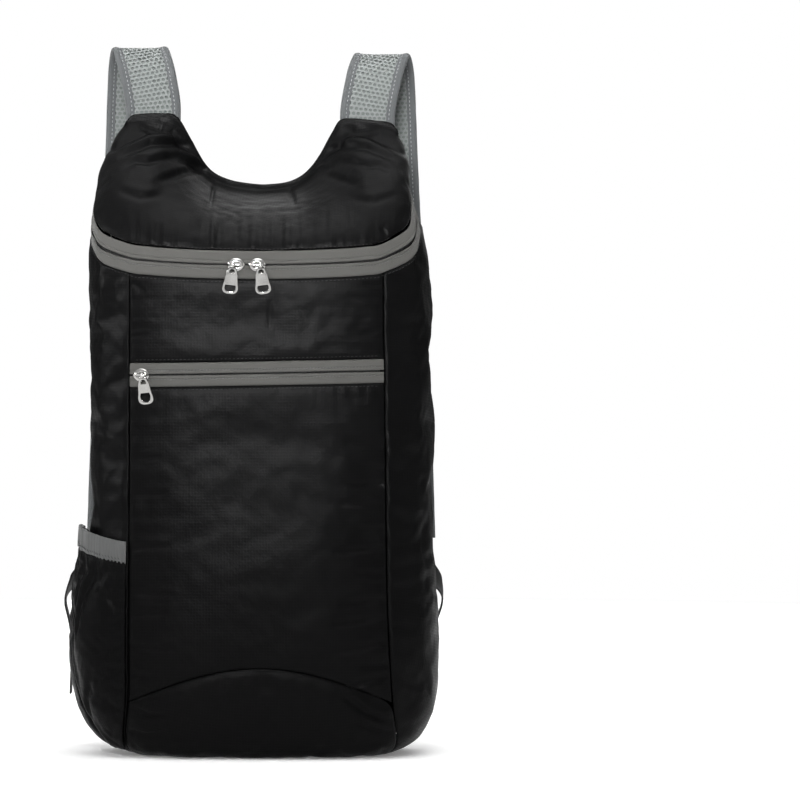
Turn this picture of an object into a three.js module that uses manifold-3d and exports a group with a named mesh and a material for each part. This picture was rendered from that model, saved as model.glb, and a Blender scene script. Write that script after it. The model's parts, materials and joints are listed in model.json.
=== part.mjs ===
import * as THREE from 'three';
import { mergeVertices } from 'three/addons/utils/BufferGeometryUtils.js';
import Module from 'manifold-3d';

const wasm = await Module();
wasm.setup();

// Sizes in millimetres. The bag stands on z = 0, its front faces -Y and its straps hang at +Y.
const bagHeight = 460;
const halfWidth = 124;
const halfDepth = 60;
const cornerHeight = 50;
const fabricWall = 1.2;
const seamGap = 0.35;
const frontSquare = 3;
const backSquare = 7;
const backSeamShare = 0.90;
const shoulderShare = 0.861;
const floorDraw = 5;
const floorGap = 0.9;

const mainBandWidth = 20;
const pocketBandWidth = 17;
const zipSlit = 1.2;
const tapeWall = 1;
const lidEnds = 0.97;
const tapeEnds = 0.985;
const coilEnds = 0.96;
const coilWidth = 3.4;
const coilWall = 0.9;

const sliderLength = 12;
const sliderHeight = 9.6;
const sliderPlate = 2.4;
const bridgeLength = 10.6;
const bridgeWidth = 1.8;
const bridgeBar = 1.4;
const bridgeRise = 2.7;
const pullLength = 21;
const pullNeck = 4.6;
const pullShoulder = 9.3;
const pullFoot = 11.5;
const pullWall = 1.3;
const eyeRadius = 2.3;
const eyeWidth = 2.6;
const runningGap = 0.35;
const seatGap = 0.7;
const pullRest = 8;
const pullLean = 7;

const strapWidth = 40;
const strapBinding = 6;
const padThickness = 3.5;
const bindingThickness = 4.4;
const strapTuck = 7;
const strapRise = 55;
const strapStand = 45;
const strapEnd = 150;
const strapLeave = 8;

const webbingWidth = 20;
const webbingThickness = 1.2;
const tailLength = 22;
const lockWidth = 27;
const lockHeight = 20;
const lockThickness = 3;
const lockBar = 3;
const lockLevel = 61;
const lockStand = 18;
const slotSlope = 1.2;
const turnSlack = 0.3;
const tailStand = 2.2;
const tailSpread = 0.4;
const approach = 10;
const loopSpread = 1.5;
const loopSag = 1.4;

const hemDepth = 11;
const lidSeat = 0.5;
const lidPuff = 0.75;
const pocketFoot = 6;
const elasticWall = 1.6;
const pocketFullness = 15;

// How finely each piece is laid out
const frontColumns = 14;
const frontRows = { pocket: 14, upper: 6 };
const baseRows = { front: 6, floor: 5 };
const gussetRows = 12;
const lidRows = 10;
const sidePocketGrid = { columns: 18, rows: 10 };
const strapSteps = 33;
const cornerRows = 4;
const cornerPart = 0.26;
const baseTurn = 0.45;

// Where the sliders sit, as shares of the way from the middle of the front to a front seam
const mainSliderPlaces = { left: -0.177, right: -0.015 };
const pocketSliderPlace = -0.905;

// The lock's two slots, from its middle
const lockSlots = {
  lower: [-lockHeight / 2 + lockBar, 0.5],
  upper: [0.5 + lockBar, lockHeight / 2 - lockBar / 2],
};

// Half widths and depths of the filled bag at each height, as shares of halfWidth and halfDepth;
// a seam is a share of its side's half width
const bodyProfile = [
  { height: 0.109, left: 0.960, right: 1.013, front: 1.10, back: 0.83, leftSeam: 0.783, rightSeam: 0.748 },
  { height: 0.193, left: 0.976, right: 1.023, front: 1.12, back: 0.85, leftSeam: 0.771, rightSeam: 0.722 },
  { height: 0.293, left: 0.979, right: 1.000, front: 1.09, back: 0.85, leftSeam: 0.765, rightSeam: 0.728 },
  { height: 0.435, left: 0.979, right: 0.992, front: 1.04, back: 0.84, leftSeam: 0.760, rightSeam: 0.728 },
  { height: 0.565, left: 0.979, right: 0.984, front: 0.99, back: 0.83, leftSeam: 0.760, rightSeam: 0.728 },
  { height: 0.685, left: 0.979, right: 0.972, front: 0.94, back: 0.82, leftSeam: 0.760, rightSeam: 0.731 },
  { height: 0.761, left: 0.979, right: 0.962, front: 0.90, back: 0.81, leftSeam: 0.760, rightSeam: 0.736 },
  { height: 0.817, left: 0.979, right: 0.931, front: 0.87, back: 0.80, leftSeam: 0.762, rightSeam: 0.750 },
  { height: 0.861, left: 0.963, right: 0.880, front: 0.84, back: 0.80, leftSeam: 0.765, rightSeam: 0.760 },
  { height: 0.905, left: 0.925, right: 0.850, front: 0.82, back: 0.79, leftSeam: 0.770, rightSeam: 0.770 },
];

// The flat that the bag stands on, in the same shares
const floorProfile = { left: 0.70, right: 0.70, front: 0.80, back: 0.74, leftSeam: 0.97, rightSeam: 0.97 };

// The zip that opens the mouth: its height on each side, as shares of bagHeight, and how much higher the
// band stands where it climbs; along runs from the middle of the front to a back seam
const mouthZip = [
  { along: 0.00, left: 0.764, right: 0.764, stretch: 1.00 },
  { along: 0.20, left: 0.766, right: 0.766, stretch: 1.00 },
  { along: 0.40, left: 0.774, right: 0.774, stretch: 1.04 },
  { along: 0.47, left: 0.786, right: 0.792, stretch: 1.12 },
  { along: 0.55, left: 0.806, right: 0.822, stretch: 1.20 },
  { along: 0.63, left: 0.822, right: 0.842, stretch: 1.20 },
  { along: 0.74, left: 0.839, right: 0.861, stretch: 1.16 },
  { along: 0.86, left: 0.856, right: 0.876, stretch: 1.12 },
  { along: 1.00, left: 0.872, right: 0.888, stretch: 1.10 },
];
const frontPart = 0.4;

// The neckline and the two horns, seen from the front: across is a share of halfWidth, height of bagHeight
const neckOutline = [
  { along: -1.00, across: -0.868, height: 0.915 },
  { along: -0.90, across: -0.838, height: 0.945 },
  { along: -0.80, across: -0.806, height: 0.974 },
  { along: -0.72, across: -0.776, height: 0.998 },
  { along: -0.57, across: -0.634, height: 1.000 },
  { along: -0.40, across: -0.492, height: 1.000 },
  { along: -0.35, across: -0.441, height: 0.973 },
  { along: -0.30, across: -0.391, height: 0.949 },
  { along: -0.24, across: -0.339, height: 0.923 },
  { along: -0.18, across: -0.290, height: 0.906 },
  { along: -0.10, across: -0.177, height: 0.893 },
  { along: 0.00, across: 0.000, height: 0.887 },
  { along: 0.10, across: 0.165, height: 0.891 },
  { along: 0.18, across: 0.250, height: 0.903 },
  { along: 0.24, across: 0.306, height: 0.920 },
  { along: 0.30, across: 0.355, height: 0.941 },
  { along: 0.35, across: 0.402, height: 0.965 },
  { along: 0.40, across: 0.457, height: 0.993 },
  { along: 0.57, across: 0.620, height: 0.990 },
  { along: 0.72, across: 0.778, height: 0.985 },
  { along: 0.80, across: 0.795, height: 0.967 },
  { along: 0.90, across: 0.805, height: 0.948 },
  { along: 1.00, across: 0.810, height: 0.929 },
];
const hornMiddle = 0.57;

// Columns that the lid, its zip and the coil share: the outline's own, and one between those far apart
const mouthColumns = neckOutline.flatMap((row, i) => {
  const next = neckOutline[i + 1];
  if (!next || next.along - row.along < 0.09) return [row.along];
  return [row.along, (row.along + next.along) / 2];
});

// Folds of the lid: each ridge crosses the columns at along and runs between two shares of its rise
const lidFolds = [
  { along: -0.78, width: 0.05, depth: 3.0, from: 0.10, to: 0.95 },
  { along: -0.50, width: 0.05, depth: 3.2, from: 0.15, to: 0.98 },
  { along: -0.36, width: 0.03, depth: -2.4, from: 0.20, to: 0.95 },
  { along: -0.22, width: 0.04, depth: 1.8, from: 0.00, to: 0.70 },
  { along: 0.04, width: 0.06, depth: 1.4, from: 0.00, to: 0.80 },
  { along: 0.22, width: 0.04, depth: 1.8, from: 0.00, to: 0.75 },
  { along: 0.36, width: 0.03, depth: -2.2, from: 0.20, to: 0.95 },
  { along: 0.50, width: 0.05, depth: 3.0, from: 0.15, to: 0.98 },
  { along: 0.78, width: 0.05, depth: 2.6, from: 0.10, to: 0.95 },
];

// The pocket's zip and the arc seam above the base, as shares of bagHeight
const pocketZip = { left: 0.5935, right: 0.6005 };
const arcSeam = { end: 0.088, apex: 0.142 };

// Creases of the filled front: across runs from seam to seam, height is a share of bagHeight
const frontCreases = [
  { across: 0.88, height: 0.44, width: 0.10, reach: 0.030, depth: -2.0 },
  { across: 0.84, height: 0.34, width: 0.12, reach: 0.026, depth: -2.2 },
  { across: 0.86, height: 0.22, width: 0.12, reach: 0.026, depth: -2.0 },
  { across: -0.86, height: 0.40, width: 0.10, reach: 0.026, depth: -1.6 },
  { across: -0.84, height: 0.26, width: 0.11, reach: 0.024, depth: -1.8 },
  { across: 0.10, height: 0.50, width: 0.60, reach: 0.030, depth: -1.2 },
  { across: -0.20, height: 0.68, width: 0.50, reach: 0.026, depth: -1.4 },
  { across: 0.00, height: 0.30, width: 0.60, reach: 0.070, depth: 2.2 },
];

// Dents in the gussets: round runs from the front seam to the back seam
const gussetDents = [
  { round: 0.16, height: 0.66, width: 0.10, reach: 0.030, depth: -2.0 },
  { round: 0.30, height: 0.52, width: 0.16, reach: 0.040, depth: -2.2 },
  { round: 0.60, height: 0.40, width: 0.20, reach: 0.045, depth: -2.6 },
  { round: 0.20, height: 0.30, width: 0.14, reach: 0.030, depth: -1.8 },
  { round: 0.72, height: 0.60, width: 0.18, reach: 0.050, depth: -2.4 },
  { round: 0.50, height: 0.20, width: 0.30, reach: 0.040, depth: -1.6 },
];

// The side pocket's fullness and the deep fold in it, at shares of its height; foldAt runs across it
const pocketShape = [
  { rise: 0.00, full: 0.00, fold: 0.00, foldAt: 0.10 },
  { rise: 0.15, full: 0.42, fold: 0.20, foldAt: 0.22 },
  { rise: 0.40, full: 0.88, fold: 0.42, foldAt: 0.34 },
  { rise: 0.60, full: 1.00, fold: 0.46, foldAt: 0.40 },
  { rise: 0.80, full: 0.84, fold: 0.38, foldAt: 0.42 },
  { rise: 1.00, full: 0.50, fold: 0.14, foldAt: 0.42 },
];
const foldWidth = 0.07;
const pocketGathers = { count: 9, depth: 0.9 };
const pocketTop = { atSeams: 0.304, lift: 0.018, trimAtSeams: 0.0275, trimLift: 0.008 };

// Each strap's route from its horn: across and stand are shares of strapWidth and strapStand, rise is a
// share of strapRise above the horn or of the drop below it
const strapRoute = [
  { out: 0.00, stand: 0.00, rise: 0.00 },
  { out: 0.00, stand: 0.00, rise: 0.22 },
  { out: 0.05, stand: 0.02, rise: 0.46 },
  { out: 0.15, stand: 0.14, rise: 0.78 },
  { out: 0.26, stand: 0.42, rise: 0.96 },
  { out: 0.33, stand: 0.70, rise: 0.80 },
  { out: 0.37, stand: 0.86, rise: 0.42 },
  { out: 0.41, stand: 0.96, drop: 0.06 },
  { out: 0.48, stand: 1.02, drop: 0.25 },
  { out: 0.58, stand: 0.94, drop: 0.50 },
  { out: 0.68, stand: 0.76, drop: 0.76 },
  { out: 0.74, stand: 0.54, drop: 1.00 },
];

// Where each webbing swings out between the strap's end and its lock
const webbingSwing = {
  left: { bulge: 22.0, lock: 14.5 },
  right: { bulge: 5.5, lock: -10.0 },
};

const colours = {
  nylon: 0x1b1b1c,
  band: 0x6f6e6b,
  coil: 0x151515,
  binding: 0x80848a,
  mesh: 0xbfc4c3,
  webbing: 0x121213,
  plastic: 0x16171a,
  nickel: 0xb9b9b6,
};

const sides = ['left', 'right'];

function finish(colour, roughness, metalness = 0) {
  return new THREE.MeshStandardMaterial({ color: colour, roughness, metalness });
}

const materials = {
  nylon: finish(colours.nylon, 0.6),
  band: finish(colours.band, 0.8),
  coil: finish(colours.coil, 0.5),
  binding: finish(colours.binding, 0.85),
  mesh: finish(colours.mesh, 0.9),
  webbing: finish(colours.webbing, 0.85),
  plastic: finish(colours.plastic, 0.4),
  nickel: finish(colours.nickel, 0.28, 1),
};

const mix = THREE.MathUtils.lerp;
const clamp = THREE.MathUtils.clamp;
const radians = THREE.MathUtils.degToRad;

function signOf(side) {
  return side === 'left' ? -1 : 1;
}

function bell(distance, width) {
  return Math.exp(-((distance / width) ** 2));
}

// One column of a table, read smoothly between its rows
function smooth(rows, by, column, at) {
  const last = rows.length - 1;
  const place = clamp(at, rows[0][by], rows[last][by]);
  let i = 0;
  while (i < last - 1 && place > rows[i + 1][by]) i += 1;
  const slope = (k) => {
    const low = rows[Math.max(k - 1, 0)];
    const high = rows[Math.min(k + 1, last)];
    return (high[column] - low[column]) / (high[by] - low[by]);
  };
  const span = rows[i + 1][by] - rows[i][by];
  const t = (place - rows[i][by]) / span;
  const start = rows[i][column] * (2 * t ** 3 - 3 * t ** 2 + 1);
  const end = rows[i + 1][column] * (3 * t ** 2 - 2 * t ** 3);
  const lean = slope(i) * (t ** 3 - 2 * t ** 2 + t) + slope(i + 1) * (t ** 3 - t ** 2);
  return start + end + lean * span;
}

// One column of a table, read in straight lines between its rows, past its ends too
function straight(rows, by, column, at) {
  let i = 0;
  while (i < rows.length - 2 && at > rows[i + 1][by]) i += 1;
  const t = (at - rows[i][by]) / (rows[i + 1][by] - rows[i][by]);
  return mix(rows[i][column], rows[i + 1][column], t);
}

// How far a squared oval of this squareness has drawn in at a share of its other half axis
function drawnIn(share, square) {
  return Math.max(1 - Math.abs(share) ** square, 0) ** (1 / square);
}

function cornerShare(z) {
  const rise = clamp(z / cornerHeight, 0, 1);
  return Math.sqrt(1 - (1 - rise) ** 2);
}

// The bag's half widths, depths and seam shares at a height
function sectionAt(z) {
  const round = cornerShare(z);
  const share = z / bagHeight;
  const grown = (column) => mix(floorProfile[column], smooth(bodyProfile, 'height', column, share), round);
  const seam = (column) => mix(floorProfile[column], smooth(bodyProfile, 'height', column, share), round ** 2);
  return {
    left: grown('left') * halfWidth,
    right: grown('right') * halfWidth,
    front: grown('front') * halfDepth,
    back: grown('back') * halfDepth,
    leftSeam: seam('leftSeam'),
    rightSeam: seam('rightSeam'),
  };
}

function seamReach(section, side) {
  return section[side] * section[`${side}Seam`];
}

// A point of the front between its seams: across is -1 at the left seam and 1 at the right one
function frontPoint(across, z) {
  const section = sectionAt(z);
  const side = across < 0 ? 'left' : 'right';
  const x = across * seamReach(section, side);
  return new THREE.Vector3(x, -section.front * drawnIn(x / section[side], frontSquare), z);
}

// A point of a gusset: round is 0 at its front seam and 1 at its back seam
function sidePoint(side, round, z) {
  const section = sectionAt(z);
  const front = -section.front * drawnIn(section[`${side}Seam`], frontSquare);
  const back = section.back * drawnIn(backSeamShare, backSquare);
  const y = mix(front, back, round);
  const reach = y < 0 ? drawnIn(y / section.front, frontSquare) : drawnIn(y / section.back, backSquare);
  return new THREE.Vector3(signOf(side) * section[side] * reach, y, z);
}

// A point of the body at a share of the way from the middle of the front to a back seam
function aroundPoint(along, z) {
  if (Math.abs(along) <= frontPart) return frontPoint(along / frontPart, z);
  const side = along < 0 ? 'left' : 'right';
  return sidePoint(side, (Math.abs(along) - frontPart) / (1 - frontPart), z);
}

function mouthHeight(along) {
  return smooth(mouthZip, 'along', along < 0 ? 'left' : 'right', Math.abs(along)) * bagHeight;
}

function mouthHalf(along) {
  return smooth(mouthZip, 'along', 'stretch', Math.abs(along)) * mainBandWidth / 2;
}

function pocketHeight(across) {
  return mix(pocketZip.left, pocketZip.right, (across + 1) / 2) * bagHeight;
}

function arcHeight(across) {
  return mix(arcSeam.end, arcSeam.apex, Math.cos(across * Math.PI / 2)) * bagHeight;
}

// The side of a surface that faces out, worked out from two short steps on it
function outward(surface, u, v, flip) {
  const step = 1e-3;
  const du = surface(u + step, v).sub(surface(u - step, v));
  const dv = surface(u, v + step).sub(surface(u, v - step));
  return du.cross(dv).normalize().multiplyScalar(flip ? -1 : 1);
}

function raised(surface, relief, flip) {
  return (u, v) => surface(u, v).addScaledVector(outward(surface, u, v, flip), relief(u, v));
}

function steps(count) {
  return Array.from({ length: count + 1 }, (_, i) => i / count);
}

// A closed sheet: the outer face follows the surface at the given shares, the inner face lies a wall inside
function sheetSolid(surface, us, vs, wall, flip = false) {
  const outer = [];
  const inner = [];
  for (const v of vs) {
    for (const u of us) {
      const point = surface(u, v);
      outer.push(point);
      inner.push(point.clone().addScaledVector(outward(surface, u, v, flip), -wall));
    }
  }
  const points = [...outer, ...inner];
  const wide = us.length;
  const at = (i, j, layer) => layer * outer.length + j * wide + i;
  const index = [];
  const quad = (a, b, c, d) => index.push(a, b, c, a, c, d);
  const face = (a, b, c, d) => (flip ? quad(d, c, b, a) : quad(a, b, c, d));
  const lastU = us.length - 1;
  const lastV = vs.length - 1;
  for (let j = 0; j < lastV; j += 1) {
    for (let i = 0; i < lastU; i += 1) {
      face(at(i, j, 0), at(i + 1, j, 0), at(i + 1, j + 1, 0), at(i, j + 1, 0));
      face(at(i, j + 1, 1), at(i + 1, j + 1, 1), at(i + 1, j, 1), at(i, j, 1));
    }
  }
  for (let i = 0; i < lastU; i += 1) {
    face(at(i, 0, 1), at(i + 1, 0, 1), at(i + 1, 0, 0), at(i, 0, 0));
    face(at(i, lastV, 0), at(i + 1, lastV, 0), at(i + 1, lastV, 1), at(i, lastV, 1));
  }
  for (let j = 0; j < lastV; j += 1) {
    face(at(0, j, 0), at(0, j + 1, 0), at(0, j + 1, 1), at(0, j, 1));
    face(at(lastU, j, 1), at(lastU, j + 1, 1), at(lastU, j + 1, 0), at(lastU, j, 0));
  }
  return solidFrom(points, index);
}

function solidFrom(points, index) {
  const geometry = new THREE.BufferGeometry();
  geometry.setAttribute('position', new THREE.Float32BufferAttribute(points.flatMap((p) => p.toArray()), 3));
  geometry.setIndex(index);
  geometry.computeVertexNormals();
  return geometry;
}

// A flat strip along a curve: across gives the direction of its width at a share of the curve
function ribbonSolid(curve, count, width, thickness, across, shift = 0) {
  const points = [];
  for (const share of steps(count)) {
    const tangent = curve.getTangent(share);
    const wide = across(share);
    wide.addScaledVector(tangent, -wide.dot(tangent)).normalize();
    const thick = new THREE.Vector3().crossVectors(tangent, wide);
    const middle = curve.getPoint(share).addScaledVector(wide, shift);
    for (const [w, t] of [[-1, -1], [1, -1], [1, 1], [-1, 1]]) {
      const corner = middle.clone().addScaledVector(wide, w * width / 2);
      points.push(corner.addScaledVector(thick, t * thickness / 2));
    }
  }
  const index = [];
  const quad = (a, b, c, d) => index.push(a, b, c, a, c, d);
  for (let i = 0; i < count; i += 1) {
    for (let k = 0; k < 4; k += 1) {
      const next = (k + 1) % 4;
      quad(4 * i + k, 4 * i + next, 4 * i + 4 + next, 4 * i + 4 + k);
    }
  }
  quad(3, 2, 1, 0);
  quad(4 * count, 4 * count + 1, 4 * count + 2, 4 * count + 3);
  return solidFrom(points, index);
}

function toManifold(geometry) {
  const bare = geometry.clone();
  bare.deleteAttribute('normal');
  bare.deleteAttribute('uv');
  const merged = mergeVertices(bare, 1e-4);
  const triVerts = new Uint32Array(merged.index.array);
  return new wasm.Manifold(new wasm.Mesh({
    numProp: 3,
    vertProperties: new Float32Array(merged.attributes.position.array),
    triVerts,
  }));
}

function fromManifold(solid) {
  const mesh = solid.getMesh();
  const geometry = new THREE.BufferGeometry();
  geometry.setAttribute('position', new THREE.BufferAttribute(Float32Array.from(mesh.vertProperties), 3));
  geometry.setIndex(new THREE.BufferAttribute(Uint32Array.from(mesh.triVerts), 1));
  geometry.computeVertexNormals();
  return geometry;
}

const bag = new THREE.Group();

function addPiece(name, geometry, material, parent = bag) {
  const mesh = new THREE.Mesh(geometry, material);
  mesh.name = name;
  parent.add(mesh);
  return mesh;
}

function creaseRelief(rows, placeKey, place, z) {
  let relief = 0;
  for (const row of rows) {
    const near = bell(place - row[placeKey], row.width) * bell(z / bagHeight - row.height, row.reach);
    relief += row.depth * near;
  }
  return relief;
}

// Seam gaps in the shares that a panel is laid out in, reckoned at the middle of the bag
const middleRow = bodyProfile[Math.floor((bodyProfile.length - 1) / 2)];

function frontInset() {
  return seamGap / 2 / (halfWidth * middleRow.rightSeam);
}

function gussetInset() {
  return seamGap / 2 / (halfDepth * (middleRow.front + middleRow.back) / 2);
}

// Fades relief out towards both edges of a span, so that neighbours still meet
function edgeFade(share, band = 0.12) {
  return clamp(Math.min(share, 1 - share) / band, 0, 1);
}

function frontSpan(low, high) {
  const inset = frontInset();
  return (u, v) => {
    const across = mix(-1 + inset, 1 - inset, u);
    return frontPoint(across, mix(low(across), high(across), v));
  };
}

function frontPanel(name, low, high, rows) {
  const span = frontSpan(low, high);
  const relief = (u, v) => {
    const across = mix(-1, 1, u);
    const z = mix(low(across), high(across), v);
    return creaseRelief(frontCreases, 'across', across, z) * edgeFade(u, 0.06) * edgeFade(v);
  };
  const geometry = sheetSolid(raised(span, relief, false), steps(frontColumns), steps(rows), fabricWall);
  addPiece(name, geometry, materials.nylon);
}

function frontPanels() {
  const arcTop = (across) => arcHeight(across) + seamGap / 2;
  const underPocketZip = (across) => pocketHeight(across) - pocketBandWidth / 2 - seamGap;
  const overPocketZip = (across) => pocketHeight(across) + pocketBandWidth / 2 + seamGap;
  const underMouth = (across) => {
    const along = across * frontPart;
    return mouthHeight(along) - mouthHalf(along) - seamGap;
  };
  frontPanel('front_pocket_panel', arcTop, underPocketZip, frontRows.pocket);
  frontPanel('front_upper_panel', overPocketZip, underMouth, frontRows.upper);
}

// The base turns under the bag from the arc seam on the front to the foot of the back. On the floor it draws in a
// little further from its neighbours, whose edges turn under there
function basePanel() {
  const inset = frontInset();
  const floor = sectionAt(0);
  const surface = (u, v) => {
    const down = clamp(v / baseTurn, 0, 1);
    const across = mix(-1, 1, u) * (1 - inset * (1 + floorDraw * down ** 3));
    if (v < baseTurn) {
      const top = arcHeight(across) - seamGap / 2;
      return frontPoint(across, top * (1 - Math.sin(down * Math.PI / 2)));
    }
    const back = (v - baseTurn) / (1 - baseTurn);
    const side = across < 0 ? 'left' : 'right';
    const swell = 1 + (1 / floor[`${side}Seam`] - 1) * Math.sin(Math.PI * clamp(back, 0, 1));
    const x = across * seamReach(floor, side) * swell;
    const rim = frontPoint(across, 0);
    const edge = (floor.back - floorGap) * drawnIn(x / (floor[side] - floorGap), backSquare);
    return new THREE.Vector3(x, mix(rim.y, edge, back), 0);
  };
  const rows = [
    ...steps(baseRows.front).map((s) => s * baseTurn),
    ...steps(baseRows.floor).slice(1).map((s) => mix(baseTurn, 1, s)),
  ];
  addPiece('base_panel', sheetSolid(surface, steps(frontColumns), rows, fabricWall, true), materials.nylon);
}

// Heights up a panel that starts at the floor: close together round the bottom corner
function heightAlong(v, top) {
  if (v < cornerPart) return cornerHeight * (1 - Math.cos(clamp(v / cornerPart, 0, 1) * Math.PI / 2));
  return mix(cornerHeight, top, (v - cornerPart) / (1 - cornerPart));
}

function panelRows(count) {
  return [...steps(cornerRows).map((s) => s * cornerPart), ...steps(count).slice(1).map((s) => mix(cornerPart, 1, s))];
}

// A gusset's columns meet those of the zip above it
const gussetColumns = mouthColumns.filter((along) => along >= frontPart)
  .map((along) => (along - frontPart) / (1 - frontPart));

function gusset(side) {
  const inset = gussetInset();
  const surface = (u, v) => {
    const round = mix(inset, 1 - inset, u);
    const along = signOf(side) * mix(frontPart, 1, round);
    const top = mouthHeight(along) - mouthHalf(along) - seamGap;
    return sidePoint(side, round, heightAlong(v, top));
  };
  const relief = (u, v) => {
    const z = surface(u, v).z;
    return creaseRelief(gussetDents, 'round', u, z) * edgeFade(u, 0.08) * edgeFade(v);
  };
  const flip = side === 'left';
  const geometry = sheetSolid(raised(surface, relief, flip), gussetColumns, panelRows(gussetRows), fabricWall, flip);
  addPiece(`gusset_${side}`, geometry, materials.nylon);
}

function outlinePoint(along) {
  return {
    x: straight(neckOutline, 'along', 'across', along) * halfWidth,
    z: straight(neckOutline, 'along', 'height', along) * bagHeight,
  };
}

// The plane of the back: it stays at the shoulders' depth up into the horns
function backDepth(x, z) {
  const section = sectionAt(Math.min(z, shoulderShare * bagHeight));
  const side = x < 0 ? 'left' : 'right';
  return section.back * drawnIn(Math.min(Math.abs(x) / section[side], backSeamShare), backSquare);
}

function backPoint(along, v) {
  const rim = outlinePoint(along);
  const edge = outlinePoint(Math.sign(along));
  const z = heightAlong(v, rim.z);
  const section = sectionAt(Math.min(z, shoulderShare * bagHeight));
  const side = along < 0 ? 'left' : 'right';
  const share = along === 0 ? 0 : Math.abs(rim.x / edge.x);
  const low = signOf(side) * share * (section[side] * backSeamShare - seamGap / 2);
  const blend = THREE.MathUtils.smoothstep(z, shoulderShare * bagHeight, edge.z);
  const x = mix(low, rim.x, blend);
  return new THREE.Vector3(x, backDepth(x, z), z);
}

// Rows up the back, closer together where it turns into the horns
const backRows = [...steps(cornerRows).map((s) => s * cornerPart), 0.41, 0.56, 0.7, 0.8, 0.88, 0.94, 1];

function backPanel() {
  const alongs = neckOutline.map((row) => row.along);
  const surface = (u, v) => backPoint(u, v);
  addPiece('back_panel', sheetSolid(surface, alongs, backRows, fabricWall, true), materials.nylon);
}

// The lid rises from the mouth's zip and runs back to the neckline and up into the horns
function lidPoint(along, v) {
  const start = aroundPoint(along, mouthHeight(along) + mouthHalf(along) + seamGap + lidSeat);
  const rim = outlinePoint(along);
  const length = Math.hypot(backDepth(rim.x, rim.z) - start.y, rim.z - start.z);
  const flat = clamp(hemDepth / length, 0, 0.3);
  const climb = clamp(v / (1 - flat), 0, 1);
  const back = (1 - lidPuff) * climb + lidPuff * (1 - Math.cos(climb * Math.PI / 2));
  const sideways = mix(v, Math.max(v, 0) ** 1.5, clamp((Math.abs(along) - frontPart) / (1 - frontPart), 0, 1));
  const x = mix(start.x, rim.x, sideways);
  const z = mix(start.z, rim.z, v);
  const behind = backDepth(x, z) - 2 * fabricWall - 2 * seamGap;
  return new THREE.Vector3(x, mix(start.y, behind, back), z);
}

function lidRelief(along, v) {
  let relief = 0;
  for (const fold of lidFolds) {
    const run = clamp((v - fold.from) / 0.15, 0, 1) * clamp((fold.to - v) / 0.15, 0, 1);
    relief += fold.depth * bell(along - fold.along, fold.width) * run;
  }
  return relief * clamp((0.9 - v) / 0.1, 0, 1) * edgeFade((along + 1) / 2, 0.05);
}

function mouthAlongs(ends) {
  return mouthColumns.map((along) => clamp(along, -ends, ends));
}

function lidPanel() {
  const geometry = sheetSolid(raised(lidPoint, lidRelief, false), mouthAlongs(lidEnds), steps(lidRows), fabricWall);
  addPiece('lid_panel', geometry, materials.nylon);
}

// A tape strip, its slit edge at zero and its sewn edge at one
function mouthTape(name, direction) {
  const surface = (along, v) => {
    const reach = mix(zipSlit / 2, mouthHalf(along), direction < 0 ? 1 - v : v);
    return aroundPoint(along, mouthHeight(along) + direction * reach);
  };
  addPiece(name, sheetSolid(surface, mouthAlongs(tapeEnds), steps(1), tapeWall), materials.band);
}

function pocketTape(name, direction) {
  const inset = frontInset();
  const surface = (u, v) => {
    const across = mix(-1 + inset, 1 - inset, u);
    const reach = mix(zipSlit, pocketBandWidth, direction < 0 ? 1 - v : v) / 2;
    return frontPoint(across, pocketHeight(across) + direction * reach);
  };
  addPiece(name, sheetSolid(surface, steps(frontColumns), steps(1), tapeWall), materials.band);
}

// The coil lies behind its tapes and closes the slit
function coil(name, place, columns) {
  const behind = -(tapeWall + seamGap);
  addPiece(name, sheetSolid(raised(place, () => behind, false), columns, steps(1), coilWall), materials.coil);
}

function zips() {
  mouthTape('main_zip_tape_lower', -1);
  mouthTape('main_zip_tape_upper', 1);
  pocketTape('pocket_zip_tape_lower', -1);
  pocketTape('pocket_zip_tape_upper', 1);
  coil('main_zip_coil', (along, v) => {
    return aroundPoint(along, mouthHeight(along) + (v - 0.5) * coilWidth);
  }, mouthAlongs(coilEnds));
  coil('pocket_zip_coil', (u, v) => {
    const across = mix(-0.98, 0.98, u);
    return frontPoint(across, pocketHeight(across) + (v - 0.5) * coilWidth);
  }, steps(frontColumns));
}

function plateShape(length, height) {
  const shape = new THREE.Shape();
  const l = length / 2;
  const h = height / 2;
  shape.moveTo(-l, -0.55 * h);
  shape.quadraticCurveTo(-l, -h, -0.5 * l, -h);
  shape.lineTo(0.55 * l, -0.8 * h);
  shape.quadraticCurveTo(l, -0.7 * h, l, 0);
  shape.quadraticCurveTo(l, 0.7 * h, 0.55 * l, 0.8 * h);
  shape.lineTo(-0.5 * l, h);
  shape.quadraticCurveTo(-l, h, -l, 0.55 * h);
  shape.closePath();
  return shape;
}

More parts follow.
